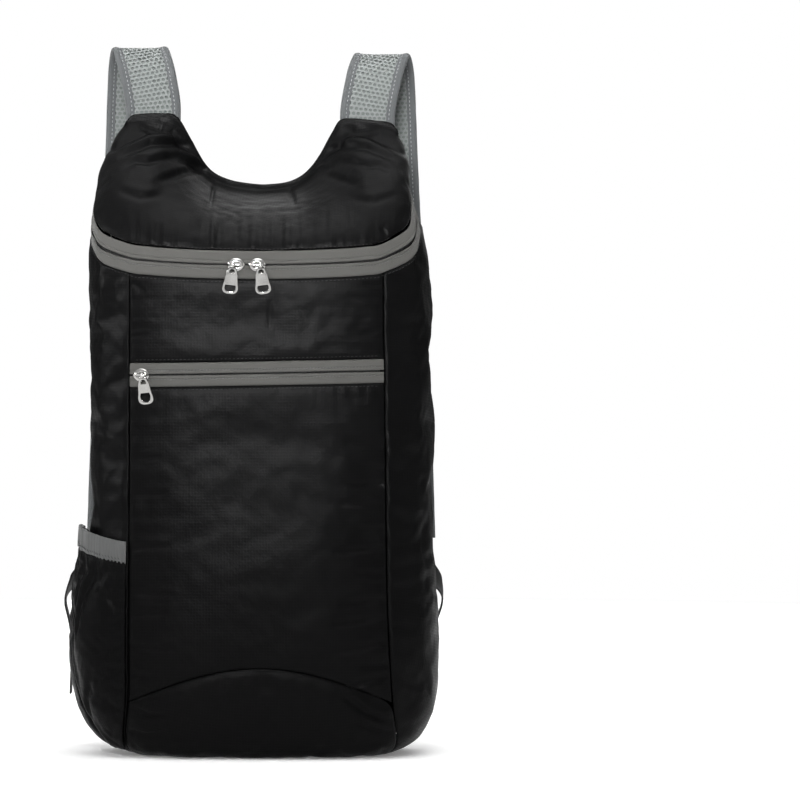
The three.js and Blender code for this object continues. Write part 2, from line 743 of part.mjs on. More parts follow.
// A slider with its nose towards +X, its plate on the tape and its bridge standing out in front
function sliderGeometry() {
  const plate = new THREE.ExtrudeGeometry(plateShape(sliderLength, sliderHeight), {
    depth: sliderPlate, bevelEnabled: false, curveSegments: 3,
  });
  plate.rotateX(Math.PI / 2);
  const half = bridgeLength / 2;
  const top = sliderPlate + bridgeRise + bridgeBar / 2;
  const arch = new THREE.Shape();
  arch.moveTo(-half, sliderPlate - 0.5);
  arch.lineTo(-half, top - 1.2);
  arch.quadraticCurveTo(-half, top, -half + 1.6, top);
  arch.lineTo(half - 1.6, top);
  arch.quadraticCurveTo(half, top, half, top - 1.2);
  arch.lineTo(half, sliderPlate - 0.5);
  arch.lineTo(half - bridgeBar, sliderPlate - 0.5);
  arch.lineTo(half - bridgeBar, top - bridgeBar);
  arch.lineTo(-half + bridgeBar, top - bridgeBar);
  arch.lineTo(-half + bridgeBar, sliderPlate - 0.5);
  arch.closePath();
  const bridge = new THREE.ExtrudeGeometry(arch, { depth: bridgeWidth, bevelEnabled: false, curveSegments: 3 });
  bridge.translate(0, 0, -bridgeWidth / 2);
  bridge.rotateX(Math.PI);
  return fromManifold(toManifold(plate).add(toManifold(bridge)));
}

// A pull that hangs from its eye at the origin; its hole is wide at the foot
function pullGeometry(lean) {
  const shape = new THREE.Shape();
  const neck = pullNeck / 2;
  const shoulder = pullShoulder / 2;
  const foot = pullFoot / 2;
  shape.moveTo(neck, -eyeRadius * 0.6);
  shape.lineTo(neck, -0.28 * pullLength);
  shape.quadraticCurveTo(shoulder, -0.34 * pullLength, shoulder, -0.46 * pullLength);
  shape.lineTo(foot, -pullLength + foot * 0.9);
  shape.quadraticCurveTo(foot, -pullLength, 0, -pullLength);
  shape.quadraticCurveTo(-foot, -pullLength, -foot, -pullLength + foot * 0.9);
  shape.lineTo(-shoulder, -0.46 * pullLength);
  shape.quadraticCurveTo(-shoulder, -0.34 * pullLength, -neck, -0.28 * pullLength);
  shape.lineTo(-neck, -eyeRadius * 0.6);
  shape.closePath();
  const hole = new THREE.Path();
  const low = -pullLength + 2.4;
  hole.moveTo(-0.62 * foot, low + 4.4);
  hole.quadraticCurveTo(-0.72 * foot, low, 0, low);
  hole.quadraticCurveTo(0.72 * foot, low, 0.62 * foot, low + 4.4);
  hole.quadraticCurveTo(0, low + 6.4, -0.62 * foot, low + 4.4);
  shape.holes.push(hole);
  const plate = new THREE.ExtrudeGeometry(shape, { depth: pullWall, bevelEnabled: false, curveSegments: 3 });
  plate.translate(0, 0, -pullWall / 2);
  plate.rotateX(Math.PI / 2);
  plate.rotateY(lean * radians(pullLean));
  const eye = new THREE.CylinderGeometry(eyeRadius, eyeRadius, eyeWidth, 12);
  const bore = Math.hypot(bridgeBar, bridgeWidth) / 2 + runningGap;
  const inside = new THREE.CylinderGeometry(bore, bore, eyeWidth * 4, 12);
  eye.rotateZ(Math.PI / 2);
  inside.rotateZ(Math.PI / 2);
  return fromManifold(toManifold(plate).add(toManifold(eye)).subtract(toManifold(inside)));
}

// A slider with its pull, at a place on the bag; turn swings it to lie on the cloth there
function sliderSet(names, surfacePoint, turn, nose) {
  const group = new THREE.Group();
  group.position.copy(surfacePoint);
  group.rotation.z = turn;
  bag.add(group);
  const slider = addPiece(names.slider, sliderGeometry(), materials.nickel, group);
  slider.position.y = -seatGap;
  if (nose < 0) slider.rotation.y = Math.PI;
  const pull = addPiece(names.pull, pullGeometry(nose), materials.nickel, group);
  const outerEnd = bridgeLength / 2 - bridgeBar - eyeWidth / 2 - runningGap;
  pull.position.set(-nose * outerEnd, -seatGap - sliderPlate - bridgeRise, 0);
  pull.rotation.x = radians(pullRest);
}

function sliders() {
  for (const side of sides) {
    const across = mainSliderPlaces[side];
    const place = frontPoint(across, mouthHeight(across * frontPart));
    const names = { slider: `main_slider_${side}`, pull: `main_pull_${side}` };
    sliderSet(names, place, 0, -signOf(side));
  }
  const across = pocketSliderPlace;
  const place = frontPoint(across, pocketHeight(across));
  const beside = frontPoint(across + 0.01, pocketHeight(across));
  const turn = Math.atan2(beside.y - place.y, beside.x - place.x);
  sliderSet({ slider: 'pocket_slider', pull: 'pocket_pull' }, place, turn, -1);
}

function pocketEdge(round) {
  return (pocketTop.atSeams + pocketTop.lift * Math.sin(Math.PI * clamp(round, 0, 1))) * bagHeight;
}

function trimEdge(round) {
  const share = pocketTop.trimAtSeams + pocketTop.trimLift * Math.sin(Math.PI * clamp(round, 0, 1));
  return pocketEdge(round) + share * bagHeight;
}

// How far the side pocket stands off the gusset; it lies on it along both seams
function pocketLift(round, rise) {
  const across = Math.sin(Math.PI * clamp(round, 0, 1)) ** 0.8;
  const full = smooth(pocketShape, 'rise', 'full', rise) * across;
  const foldAt = smooth(pocketShape, 'rise', 'foldAt', rise);
  const fold = smooth(pocketShape, 'rise', 'fold', rise) * bell(round - foldAt, foldWidth) * across;
  const gather = Math.cos(2 * Math.PI * pocketGathers.count * round) * pocketGathers.depth;
  const gathered = gather * clamp((rise - 0.7) / 0.3, 0, 1) * across;
  return Math.max(pocketFullness * (full - fold) + gathered, 0);
}

function sidePocket() {
  const off = seamGap + elasticWall;
  const inset = 2 * gussetInset();
  const cloth = (u, v) => {
    const round = mix(inset, 1 - inset, u);
    const top = pocketEdge(round) - seamGap / 2;
    return sidePoint('left', round, mix(pocketFoot, top, Math.max(v, 0) ** 1.3));
  };
  const lift = (u, v) => off + pocketLift(mix(inset, 1 - inset, u), v);
  addPiece('side_pocket', sheetSolid(raised(cloth, lift, true), steps(sidePocketGrid.columns), steps(sidePocketGrid.rows), fabricWall, true), materials.nylon);
  const edge = (u, v) => {
    const round = mix(inset, 1 - inset, u);
    return sidePoint('left', round, mix(pocketEdge(round) + seamGap / 2, trimEdge(round), v));
  };
  const edgeLift = (u, v) => off + pocketLift(mix(inset, 1 - inset, u), 1) * mix(1, 0.9, v);
  addPiece('side_pocket_trim', sheetSolid(raised(edge, edgeLift, true), steps(sidePocketGrid.columns), steps(1), elasticWall, true), materials.binding);
}

// Each strap is sewn to the back of its horn, rises from it, turns over and hangs down the back
function strapCurve(side) {
  const horn = outlinePoint(signOf(side) * hornMiddle);
  const innerEdge = Math.abs(horn.x) - strapWidth / 2;
  const plane = backDepth(signOf(side) * innerEdge, horn.z) + seamGap + bindingThickness / 2;
  const start = horn.z - strapTuck;
  const points = strapRoute.map((row) => {
    const rise = row.drop === undefined ? start + row.rise * strapRise : mix(start, strapEnd, row.drop);
    return new THREE.Vector3(horn.x + signOf(side) * row.out * strapWidth, plane + row.stand * strapStand, rise);
  });
  return new THREE.CatmullRomCurve3(points, false, 'centripetal');
}

function strap(side) {
  const curve = strapCurve(side);
  const across = () => new THREE.Vector3(1, 0, 0);
  const padWidth = strapWidth - 2 * strapBinding - 2 * seamGap;
  addPiece(`strap_pad_${side}`, ribbonSolid(curve, strapSteps, padWidth, padThickness, across), materials.mesh);
  for (const edge of [-1, 1]) {
    const place = edge * signOf(side) > 0 ? 'outer' : 'inner';
    const shift = edge * (strapWidth - strapBinding) / 2;
    const geometry = ribbonSolid(curve, strapSteps, strapBinding, bindingThickness, across, shift);
    addPiece(`strap_binding_${side}_${place}`, geometry, materials.binding);
  }
}

// The lock stands edge on to the front: its bars run along Y, with a slot above and below the middle bar
function lockGeometry() {
  const w = lockWidth / 2;
  const h = lockHeight / 2;
  const shape = new THREE.Shape();
  shape.moveTo(-w + 2, -h);
  shape.lineTo(w - 2, -h);
  shape.quadraticCurveTo(w, -h, w, -h + 2);
  shape.lineTo(w, h - 2);
  shape.quadraticCurveTo(w, h, w - 2, h);
  shape.lineTo(-w + 2, h);
  shape.quadraticCurveTo(-w, h, -w, h - 2);
  shape.lineTo(-w, -h + 2);
  shape.quadraticCurveTo(-w, -h, -w + 2, -h);
  for (const [low, high] of [lockSlots.lower, lockSlots.upper]) {
    const slot = new THREE.Path();
    const inner = w - lockBar;
    slot.moveTo(-inner, low);
    slot.lineTo(-inner, high);
    slot.lineTo(inner, high);
    slot.lineTo(inner, low);
    slot.closePath();
    shape.holes.push(slot);
  }
  const geometry = new THREE.ExtrudeGeometry(shape, { depth: lockThickness, bevelEnabled: false, curveSegments: 3 });
  geometry.translate(0, 0, -lockThickness / 2);
  geometry.rotateX(Math.PI / 2);
  geometry.rotateZ(Math.PI / 2);
  return geometry;
}

function lockPlace(side) {
  const section = sectionAt(lockLevel);
  const x = signOf(side) * (section[side] + webbingSwing[side].lock);
  return new THREE.Vector3(x, section.back + lockStand, lockLevel);
}

function webbing(side) {
  const out = signOf(side);
  const lock = lockPlace(side);
  const end = strapCurve(side).getPoint(1);
  const leaving = strapCurve(side).getTangent(1);
  const swing = sectionAt(0.232 * bagHeight)[side] + webbingSwing[side].bulge;
  const clear = lockThickness / 2 + webbingThickness / 2 + seamGap;
  const place = (x, y, z) => new THREE.Vector3(x, y, z);
  const bulgeAt = mix(lock.z, end.z, 0.52);
  const upper = lock.z + (lockSlots.upper[0] + lockSlots.upper[1]) / 2;
  const lower = lock.z + lockSlots.lower[1] - webbingThickness / 2 - seamGap - slotSlope;
  const besideLock = (off, z) => place(lock.x + out * off, lock.y, z);
  const points = [
    end.clone().addScaledVector(leaving, seamGap),
    end.clone().addScaledVector(leaving, strapLeave),
    place(mix(end.x, out * swing, 0.75), mix(end.y, lock.y, 0.6), mix(end.z, bulgeAt, 0.66)),
    place(out * swing, mix(end.y, lock.y, 0.85), bulgeAt),
    place(mix(lock.x, out * swing, 0.72), lock.y, mix(bulgeAt, upper, 0.4)),
    besideLock(clear + webbingThickness + tailSpread, upper + approach),
    besideLock(clear + turnSlack, upper + slotSlope),
    besideLock(0, upper),
    besideLock(-clear - turnSlack / 3, upper - slotSlope),
    besideLock(-clear - turnSlack / 3, lower + slotSlope),
    besideLock(0, lower),
    besideLock(clear + turnSlack, lower - slotSlope),
    besideLock(clear + tailStand, lower - 0.4 * approach),
    besideLock(clear + tailStand + tailSpread, lower - approach),
    besideLock(clear + tailStand + 2 * tailSpread, lower - tailLength),
  ];
  const curve = new THREE.CatmullRomCurve3(points, false, 'centripetal');
  const across = (share) => {
    const twist = THREE.MathUtils.smoothstep(share, 0.05, 0.22) * Math.PI / 2;
    return place(Math.cos(twist), Math.sin(twist), 0);
  };
  addPiece(`webbing_${side}`, ribbonSolid(curve, 3 * (points.length - 1), webbingWidth, webbingThickness, across), materials.webbing);
}

// A short folded tape sewn to the foot of the back seam holds the lock's lower bar
function anchorLoop(side) {
  const out = signOf(side);
  const lock = lockPlace(side);
  const bar = lock.z - lockHeight / 2 + lockBar / 2;
  const clear = lockThickness / 2 + webbingThickness / 2 + seamGap;
  const over = bar + lockBar / 2 + webbingThickness / 2 + 2 * seamGap;
  const level = 0.07 * bagHeight;
  const x = sidePoint(side, 1, level).x * 0.93;
  const foot = new THREE.Vector3(x, backDepth(x, level) + webbingWidth / 2 + seamGap, level);
  const besideLock = (off, z) => new THREE.Vector3(lock.x + out * off, lock.y, z);
  const apart = new THREE.Vector3(out * loopSpread, 0, -loopSag);
  const near = besideLock(-clear - tailStand, bar - lockBar - tailSpread);
  const points = [
    foot,
    foot.clone().lerp(near, 0.6),
    near,
    besideLock(-clear - turnSlack, bar),
    besideLock(-clear + 2 * turnSlack, over - turnSlack),
    besideLock(0, over),
    besideLock(clear - 2 * turnSlack, over - turnSlack),
    besideLock(clear + turnSlack, bar),
    besideLock(clear - 2 * turnSlack, 2 * bar - over),
    besideLock(0, 2 * bar - over - 2 * tailSpread),
    near.clone().add(apart),
    foot.clone().lerp(near, 0.6).add(apart),
    foot.clone().add(apart),
  ];
  const curve = new THREE.CatmullRomCurve3(points, false, 'centripetal');
  const across = () => new THREE.Vector3(0, 1, 0);
  const geometry = ribbonSolid(curve, 2 * (points.length - 1), webbingWidth, webbingThickness, across);
  addPiece(`anchor_loop_${side}`, geometry, materials.webbing);
}

function locks() {
  for (const side of sides) {
    const lock = addPiece(`ladder_lock_${side}`, lockGeometry(), materials.plastic);
    lock.position.copy(lockPlace(side));
    webbing(side);
    anchorLoop(side);
  }
}

frontPanels();
basePanel();
sides.forEach(gusset);
backPanel();
lidPanel();
zips();
sliders();
sidePocket();
sides.forEach(strap);
locks();

export default bag;
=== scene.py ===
import bisect
import itertools
import json
import math

import bmesh
import bpy
from mathutils import Matrix, Vector, bvhtree, kdtree, noise

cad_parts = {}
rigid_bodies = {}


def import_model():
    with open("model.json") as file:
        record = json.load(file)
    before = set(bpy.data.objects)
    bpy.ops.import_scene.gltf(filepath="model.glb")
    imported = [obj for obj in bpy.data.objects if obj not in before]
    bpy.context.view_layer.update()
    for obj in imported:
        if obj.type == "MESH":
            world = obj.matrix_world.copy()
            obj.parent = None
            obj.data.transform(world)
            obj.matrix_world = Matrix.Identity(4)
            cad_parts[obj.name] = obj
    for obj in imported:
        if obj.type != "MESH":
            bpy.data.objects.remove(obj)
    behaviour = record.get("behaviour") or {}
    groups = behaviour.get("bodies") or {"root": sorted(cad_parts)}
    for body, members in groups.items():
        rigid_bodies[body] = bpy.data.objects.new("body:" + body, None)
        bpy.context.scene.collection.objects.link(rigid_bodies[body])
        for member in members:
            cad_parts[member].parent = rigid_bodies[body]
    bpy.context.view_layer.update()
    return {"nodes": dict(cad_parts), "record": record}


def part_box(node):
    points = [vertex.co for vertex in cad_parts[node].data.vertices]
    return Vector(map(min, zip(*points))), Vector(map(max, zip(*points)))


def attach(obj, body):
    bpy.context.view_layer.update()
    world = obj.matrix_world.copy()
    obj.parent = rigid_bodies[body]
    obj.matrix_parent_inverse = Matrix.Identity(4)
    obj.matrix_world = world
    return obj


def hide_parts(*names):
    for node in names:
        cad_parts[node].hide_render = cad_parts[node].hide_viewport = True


for spare in list(bpy.data.objects):
    bpy.data.objects.remove(spare)
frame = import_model()
nodes = frame["nodes"]
mm = 0.001
up = Vector((0, 0, 1))
print("backpack: frame loaded,", len(nodes), "solids")


view = {
    "azimuth": 1.0,
    "elevation": 2.0,
    "distance": 4.7,
    "frameWidth": 0.568,
    "centreX": 0.100,
    "centreZ": 0.2556,
    "frontY": -0.055,
}


def placeCamera():
    turn, lift = math.radians(view["azimuth"]), math.radians(view["elevation"])
    back = Vector((math.sin(turn) * math.cos(lift), -math.cos(turn) * math.cos(lift), math.sin(lift)))
    aim = Vector((0, view["frontY"], view["centreZ"]))
    bpy.ops.object.camera_add(location=aim + back * view["distance"])
    camera = bpy.context.object
    camera.rotation_euler = back.to_track_quat("Z", "Y").to_euler()
    camera.data.sensor_width = 36
    camera.data.lens = 36 * view["distance"] / view["frameWidth"]
    camera.data.shift_x = view["centreX"] / view["frameWidth"]
    camera.data.clip_end = 60
    bpy.context.scene.camera = camera


placeCamera()

studio = {
    "sky": 0.66,        # straight above
    "horizon": 0.07,
    "lamps": [          # name, place, aim, size, watts, spread in degrees
        ("overhead_panel", (0.1, -0.1, 3.0), (0, 0, 0), 2.8, 66, 180),
        ("front_softbox", (-0.15, -1.7, 0.95), (0, -0.05, 0.50), 0.6, 2.5, 26),
        ("left_strip", (-1.9, -0.35, 0.9), (-0.1, 0, 0.38), 0.5, 0.5, 18),
        ("key_softbox", (-1.2, -1.7, 1.5), (0, 0, 0.3), 1.1, 4, 180),
        ("side_strip", (1.9, -0.6, 0.8), (0, 0, 0.3), 0.8, 2.5, 180),
        ("rear_fill", (0.3, 2.2, 1.2), (0, 0, 0.25), 1.4, 12, 180),
    ],
}


def lightStudio():
    scene = bpy.context.scene
    scene.view_settings.view_transform = "Standard"
    world = bpy.data.worlds.new("studio")
    scene.world = world
    world.use_nodes = True
    tree = world.node_tree
    tree.nodes.clear()
    direction = tree.nodes.new("ShaderNodeTexCoord")
    split = tree.nodes.new("ShaderNodeSeparateXYZ")
    tree.links.new(direction.outputs["Generated"], split.inputs[0])
    rise = tree.nodes.new("ShaderNodeMapRange")
    rise.inputs["From Min"].default_value = 0.05
    rise.inputs["From Max"].default_value = 0.8
    rise.inputs["To Min"].default_value = studio["horizon"]
    rise.inputs["To Max"].default_value = studio["sky"]
    tree.links.new(split.outputs["Z"], rise.inputs["Value"])
    seen = tree.nodes.new("ShaderNodeLightPath")
    strength = tree.nodes.new("ShaderNodeMix")
    strength.data_type = "FLOAT"
    tree.links.new(seen.outputs["Is Camera Ray"], strength.inputs["Factor"])
    tree.links.new(rise.outputs["Result"], strength.inputs["A"])
    strength.inputs["B"].default_value = 1.0
    sky = tree.nodes.new("ShaderNodeBackground")
    sky.inputs["Color"].default_value = (1, 1, 1, 1)
    tree.links.new(strength.outputs["Result"], sky.inputs["Strength"])
    out = tree.nodes.new("ShaderNodeOutputWorld")
    tree.links.new(sky.outputs[0], out.inputs["Surface"])
    for name, place, aim, size, watts, spread in studio["lamps"]:
        way = Vector(aim) - Vector(place)
        bpy.ops.object.light_add(type="AREA", location=place, rotation=way.to_track_quat("-Z", "Y").to_euler())
        lamp = bpy.context.object
        lamp.name = name
        lamp.data.size = size
        lamp.data.energy = watts
        lamp.data.spread = math.radians(spread)


lightStudio()



class Signal:  # a socket that can take part in sums
    def __init__(self, finish, socket):
        self.finish = finish
        self.socket = socket

    def math(self, kind, other=None, swapped=False):
        if other is None:
            return self.finish.node("ShaderNodeMath", {"operation": kind}, {0: self})
        first, second = (other, self) if swapped else (self, other)
        return self.finish.node("ShaderNodeMath", {"operation": kind}, {0: first, 1: second})

    def __add__(self, other):
        return self.math("ADD", other)

    def __radd__(self, other):
        return self.math("ADD", other, True)

    def __sub__(self, other):
        return self.math("SUBTRACT", other)

    def __rsub__(self, other):
        return self.math("SUBTRACT", other, True)

    def __mul__(self, other):
        return self.math("MULTIPLY", other)

    def __rmul__(self, other):
        return self.math("MULTIPLY", other, True)

    def __truediv__(self, other):
        return self.math("DIVIDE", other)

    def __rtruediv__(self, other):
        return self.math("DIVIDE", other, True)

    def __gt__(self, other):
        return self.math("GREATER_THAN", other)

    def __abs__(self):
        return self.math("ABSOLUTE")

    def share(self):  # what is left past the last whole number
        return self.math("FRACT")

    def between(self, low, high, start=0.0, end=1.0):
        limits = {"From Min": low, "From Max": high, "To Min": start, "To Max": end}
        return self.finish.node("ShaderNodeMapRange", {"interpolation_type": "SMOOTHSTEP"}, {"Value": self, **limits})


class Finish:
    def __init__(self, name):
        self.material = bpy.data.materials.new(name)
        self.material.use_nodes = True
        self.tree = self.material.node_tree
        self.tree.nodes.clear()

    def node(self, kind, settings=None, sockets=None, out=0):
        made = self.tree.nodes.new(kind)
        for name, value in (settings or {}).items():
            setattr(made, name, value)
        for name, value in (sockets or {}).items():
            if isinstance(value, Signal):
                self.tree.links.new(value.socket, made.inputs[name])
            else:
                made.inputs[name].default_value = value
        return Signal(self, made.outputs[out]) if made.outputs else None

    def objectPlace(self):
        return self.node("ShaderNodeTexCoord", out="Object")

    def cutPlace(self):  # metres along and across the cloth
        pattern = self.node("ShaderNodeUVMap", {"uv_map": "cut"})
        return [self.node("ShaderNodeSeparateXYZ", None, {0: pattern}, axis) for axis in ("X", "Y")]

    def grain(self, size, detail=2.0, roughness=0.5, place=None):
        sockets = {"Vector": place or self.objectPlace(), "Scale": 1 / size, "Detail": detail, "Roughness": roughness}
        return self.node("ShaderNodeTexNoise", None, sockets)

    def tint(self, factor, first, second):
        return self.node("ShaderNodeMix", {"data_type": "RGBA"}, {0: factor, 6: (*first, 1), 7: (*second, 1)}, 2)

    def bump(self, height, depth, strength=1.0, under=None):
        sockets = {"Height": height, "Distance": depth, "Strength": strength}
        if under is not None:
            sockets["Normal"] = under
        return self.node("ShaderNodeBump", None, sockets)

    def coat(self, sockets):
        shader = self.node("ShaderNodeBsdfPrincipled", None, sockets)
        self.node("ShaderNodeOutputMaterial", None, {"Surface": shader})
        return self.material


def nylonFinish(name="ripstop_nylon"):
    nylon = {"pitch": 2.1 * mm, "line": 0.16, "dark": (0.0011, 0.0011, 0.0012), "thread": (0.0030, 0.0030, 0.0031)}
    finish = Finish(name)
    along, across = finish.cutPlace()
    lines = []
    for run in (along, across):
        lines.append(abs((run / nylon["pitch"]).share() - 0.5).between(0.5 - nylon["line"], 0.5))
    grid = lines[0].math("MAXIMUM", lines[1])
    cloudy = finish.grain(38 * mm, 3.0)
    crinkle = finish.grain(3.2 * mm, 3.0, 0.6)
    # the grid's lines are tinted lighter as painted sheen; the grid itself is the ripstop's own woven pattern, and the
    # cloudy tone varies at random
    colour = finish.tint(grid * 0.7 + cloudy * 0.3, nylon["dark"], nylon["thread"])
    normal = finish.bump(crinkle, 0.35 * mm, 0.5)
    normal = finish.bump(grid, 0.05 * mm, 0.6, normal)
    rough = cloudy * 0.10 + 0.38 - grid * 0.08
    return finish.coat({
        "Base Color": colour, "Roughness": rough, "Normal": normal,
        "Specular IOR Level": 0.05, "Sheen Weight": 0.003, "Sheen Roughness": 0.4,
    })


def bandFinish(name, light, dark, twill=0.55 * mm, lean=1.0):
    finish = Finish(name)
    along, across = finish.cutPlace()
    ribs = abs(((along + across * lean) / twill).share() - 0.5) * 2
    rows = abs(((along - across * lean) / twill).share() - 0.5) * 2
    weave = ribs * 0.6 + rows * 0.4
    wear = finish.grain(9 * mm, 3.0)
    colour = finish.tint(weave * 0.55 + wear * 0.45, dark, light)
    normal = finish.bump(weave, 0.12 * mm, 0.7)
    return finish.coat({
        "Base Color": colour, "Roughness": wear * 0.15 + 0.68, "Normal": normal,
        "Specular IOR Level": 0.25, "Sheen Weight": 0.1, "Sheen Roughness": 0.5,
    })


def webbingFinish():
    finish = Finish("black_webbing")
    along, across = finish.cutPlace()
    ribs = abs((across / (1.5 * mm)).share() - 0.5) * 2
    picks = abs((along / (0.9 * mm)).share() - 0.5) * 2
    weave = ribs * 0.5 + picks * 0.5
    colour = finish.tint(weave, (0.004, 0.004, 0.0042), (0.012, 0.012, 0.0125))
    return finish.coat({
        "Base Color": colour, "Roughness": finish.grain(6 * mm) * 0.1 + 0.6,
        "Normal": finish.bump(weave, 0.25 * mm, 0.8), "Specular IOR Level": 0.3,
    })


def netFinish():
    finish = Finish("spacer_mesh")
    fibres = finish.grain(0.7 * mm, 2.0)
    soil = finish.grain(22 * mm, 2.0)
    colour = finish.tint(fibres * 0.6 + soil * 0.4, (0.098, 0.107, 0.104), (0.175, 0.188, 0.183))
    return finish.coat({
        "Base Color": colour, "Roughness": soil * 0.1 + 0.75,
        "Normal": finish.bump(fibres, 0.15 * mm, 0.6), "Sheen Weight": 0.2, "Sheen Roughness": 0.4,
    })


def nickelFinish():
    finish = Finish("nickel_plate")
    brushed = finish.grain(1.2 * mm, 4.0, 0.7)
    worn = finish.grain(5 * mm, 2.0)
    colour = finish.tint(worn, (0.36, 0.357, 0.348), (0.52, 0.515, 0.50))
    return finish.coat({
        "Base Color": colour, "Metallic": 1.0, "Roughness": brushed * 0.10 + 0.10,
        "Normal": finish.bump(brushed, 0.03 * mm, 0.5),
    })


def plasticFinish():
    finish = Finish("black_acetal")
    pebble = finish.grain(0.6 * mm, 2.0)
    colour = finish.tint(finish.grain(8 * mm), (0.006, 0.006, 0.0065), (0.011, 0.011, 0.012))
    return finish.coat({
        "Base Color": colour, "Roughness": pebble * 0.12 + 0.38,
        "Normal": finish.bump(pebble, 0.06 * mm, 0.4),
    })


def threadFinish(name, dark, light):
    finish = Finish(name)
    twist = finish.grain(0.35 * mm, 2.0)
    colour = finish.tint(twist, dark, light)
    return finish.coat({
        "Base Color": colour, "Roughness": twist * 0.15 + 0.5,
        "Normal": finish.bump(twist, 0.05 * mm, 0.5), "Specular IOR Level": 0.3,
    })


def coreYarnsAndShadeFinish():  # the yarn layer between the strap's two nets, its colour darkened as painted shade for the shadow seen in the net's holes
    finish = Finish("net_core_and_painted_shade")
    yarns = finish.grain(0.5 * mm, 3.0, 0.7)
    colour = finish.tint(yarns, (0.045, 0.052, 0.05), (0.15, 0.165, 0.16))
    return finish.coat({"Base Color": colour, "Roughness": yarns * 0.1 + 0.85, "Normal": finish.bump(yarns, 0.3 * mm, 0.9)})


def floorFinish():
    finish = Finish("pale_floor")
    soft = finish.grain(0.5, 2.0)
    colour = finish.tint(soft, (0.94, 0.94, 0.94), (0.96, 0.96, 0.96))
    return finish.coat({
        "Base Color": colour, "Roughness": 0.9, "Specular IOR Level": 0.1,
        "Emission Color": (1, 1, 1, 1), "Emission Strength": 0.14,
    })


nylon = nylonFinish()
zipBand = bandFinish("zip_tape", (0.068, 0.067, 0.0625), (0.040, 0.0395, 0.0367))
elastic = bandFinish("edge_elastic", (0.082, 0.084, 0.083), (0.047, 0.048, 0.048), 0.9 * mm, 0.0)
bindingTape = bandFinish("edge_binding", (0.080, 0.085, 0.087), (0.050, 0.053, 0.055), 0.6 * mm)
coilNylon = threadFinish("zip_coil", (0.004, 0.004, 0.004), (0.012, 0.012, 0.012))
blackThread = threadFinish("black_thread", (0.004, 0.004, 0.004), (0.02, 0.02, 0.02))
greyThread = threadFinish("grey_thread", (0.06, 0.062, 0.062), (0.13, 0.135, 0.135))
paleThread = threadFinish("pale_thread", (0.15, 0.16, 0.165), (0.30, 0.31, 0.315))
netCoreAndShade = coreYarnsAndShadeFinish()
webbingCloth = webbingFinish()
airMesh = netFinish()
nickel = nickelFinish()
acetal = plasticFinish()
print("backpack: finishes made")


def layFloor():
    bpy.ops.mesh.primitive_circle_add(vertices=96, radius=1.7, fill_type="NGON", location=(0, 0, -0.4 * mm))
    floor = bpy.context.object
    floor.name = "studio_floor"
    bpy.ops.object.transform_apply(location=True)
    floor.data.materials.append(floorFinish())


layFloor()


bagMiddle = Vector((0, -0.005, 0.22))


def alone(piece):
    bpy.ops.object.select_all(action="DESELECT")
    piece.select_set(True)
    bpy.context.view_layer.objects.active = piece


def newPiece(name, mesh, finish):
    piece = bpy.data.objects.new(name, mesh)
    bpy.context.scene.collection.objects.link(piece)
    piece.data.materials.append(finish)
    alone(piece)
    return piece


def useModifier(piece, kind, **settings):
    alone(piece)
    modifier = piece.modifiers.new(kind.lower(), kind)
    for name, value in settings.items():
        setattr(modifier, name, value)
    bpy.ops.object.modifier_apply(modifier=modifier.name)


def mergedCopy(name):
    shell = bmesh.new()
    shell.from_mesh(nodes[name].data)
    bmesh.ops.remove_doubles(shell, verts=shell.verts, dist=0.02 * mm)
    shell.normal_update()
    return shell


def skinOf(name, wall):  # the outer face of a walled solid: its rim faces each hold an edge one wall long
    shell = mergedCopy(name)
    left = {f for f in shell.faces if all(abs(e.calc_length() - wall) > 0.05 * mm for e in f.edges)}
    skins = []
    while left:
        skin = [left.pop()]
        for face in skin:
            near = {other for edge in face.edges for other in edge.link_faces} & left
            left -= near
            skin.extend(near)
        skins.append(skin)

    def facesOut(skin):
        return sum((f.calc_center_median() - bagMiddle).dot(f.normal) * f.calc_area() for f in skin)

    outer = set(max(skins, key=facesOut))
    bmesh.ops.delete(shell, geom=[f for f in shell.faces if f not in outer], context="FACES")
    bmesh.ops.join_triangles(shell, faces=shell.faces, angle_face_threshold=1.2, angle_shape_threshold=1.4)
    mesh = bpy.data.meshes.new(name)
    shell.to_mesh(mesh)
    shell.free()
    return mesh


def evenCells(piece, longest):  # long cells are halved until all are about as long
    alone(piece)
    for _ in range(4):
        shell = bmesh.new()
        shell.from_mesh(piece.data)
        long = [e for e in shell.edges if e.calc_length() > longest]
        if long:
            bmesh.ops.subdivide_edges(shell, edges=long, cuts=1, use_grid_fill=True, smooth=0.0)
        shell.to_mesh(piece.data)
        shell.free()
        if not long:
            break


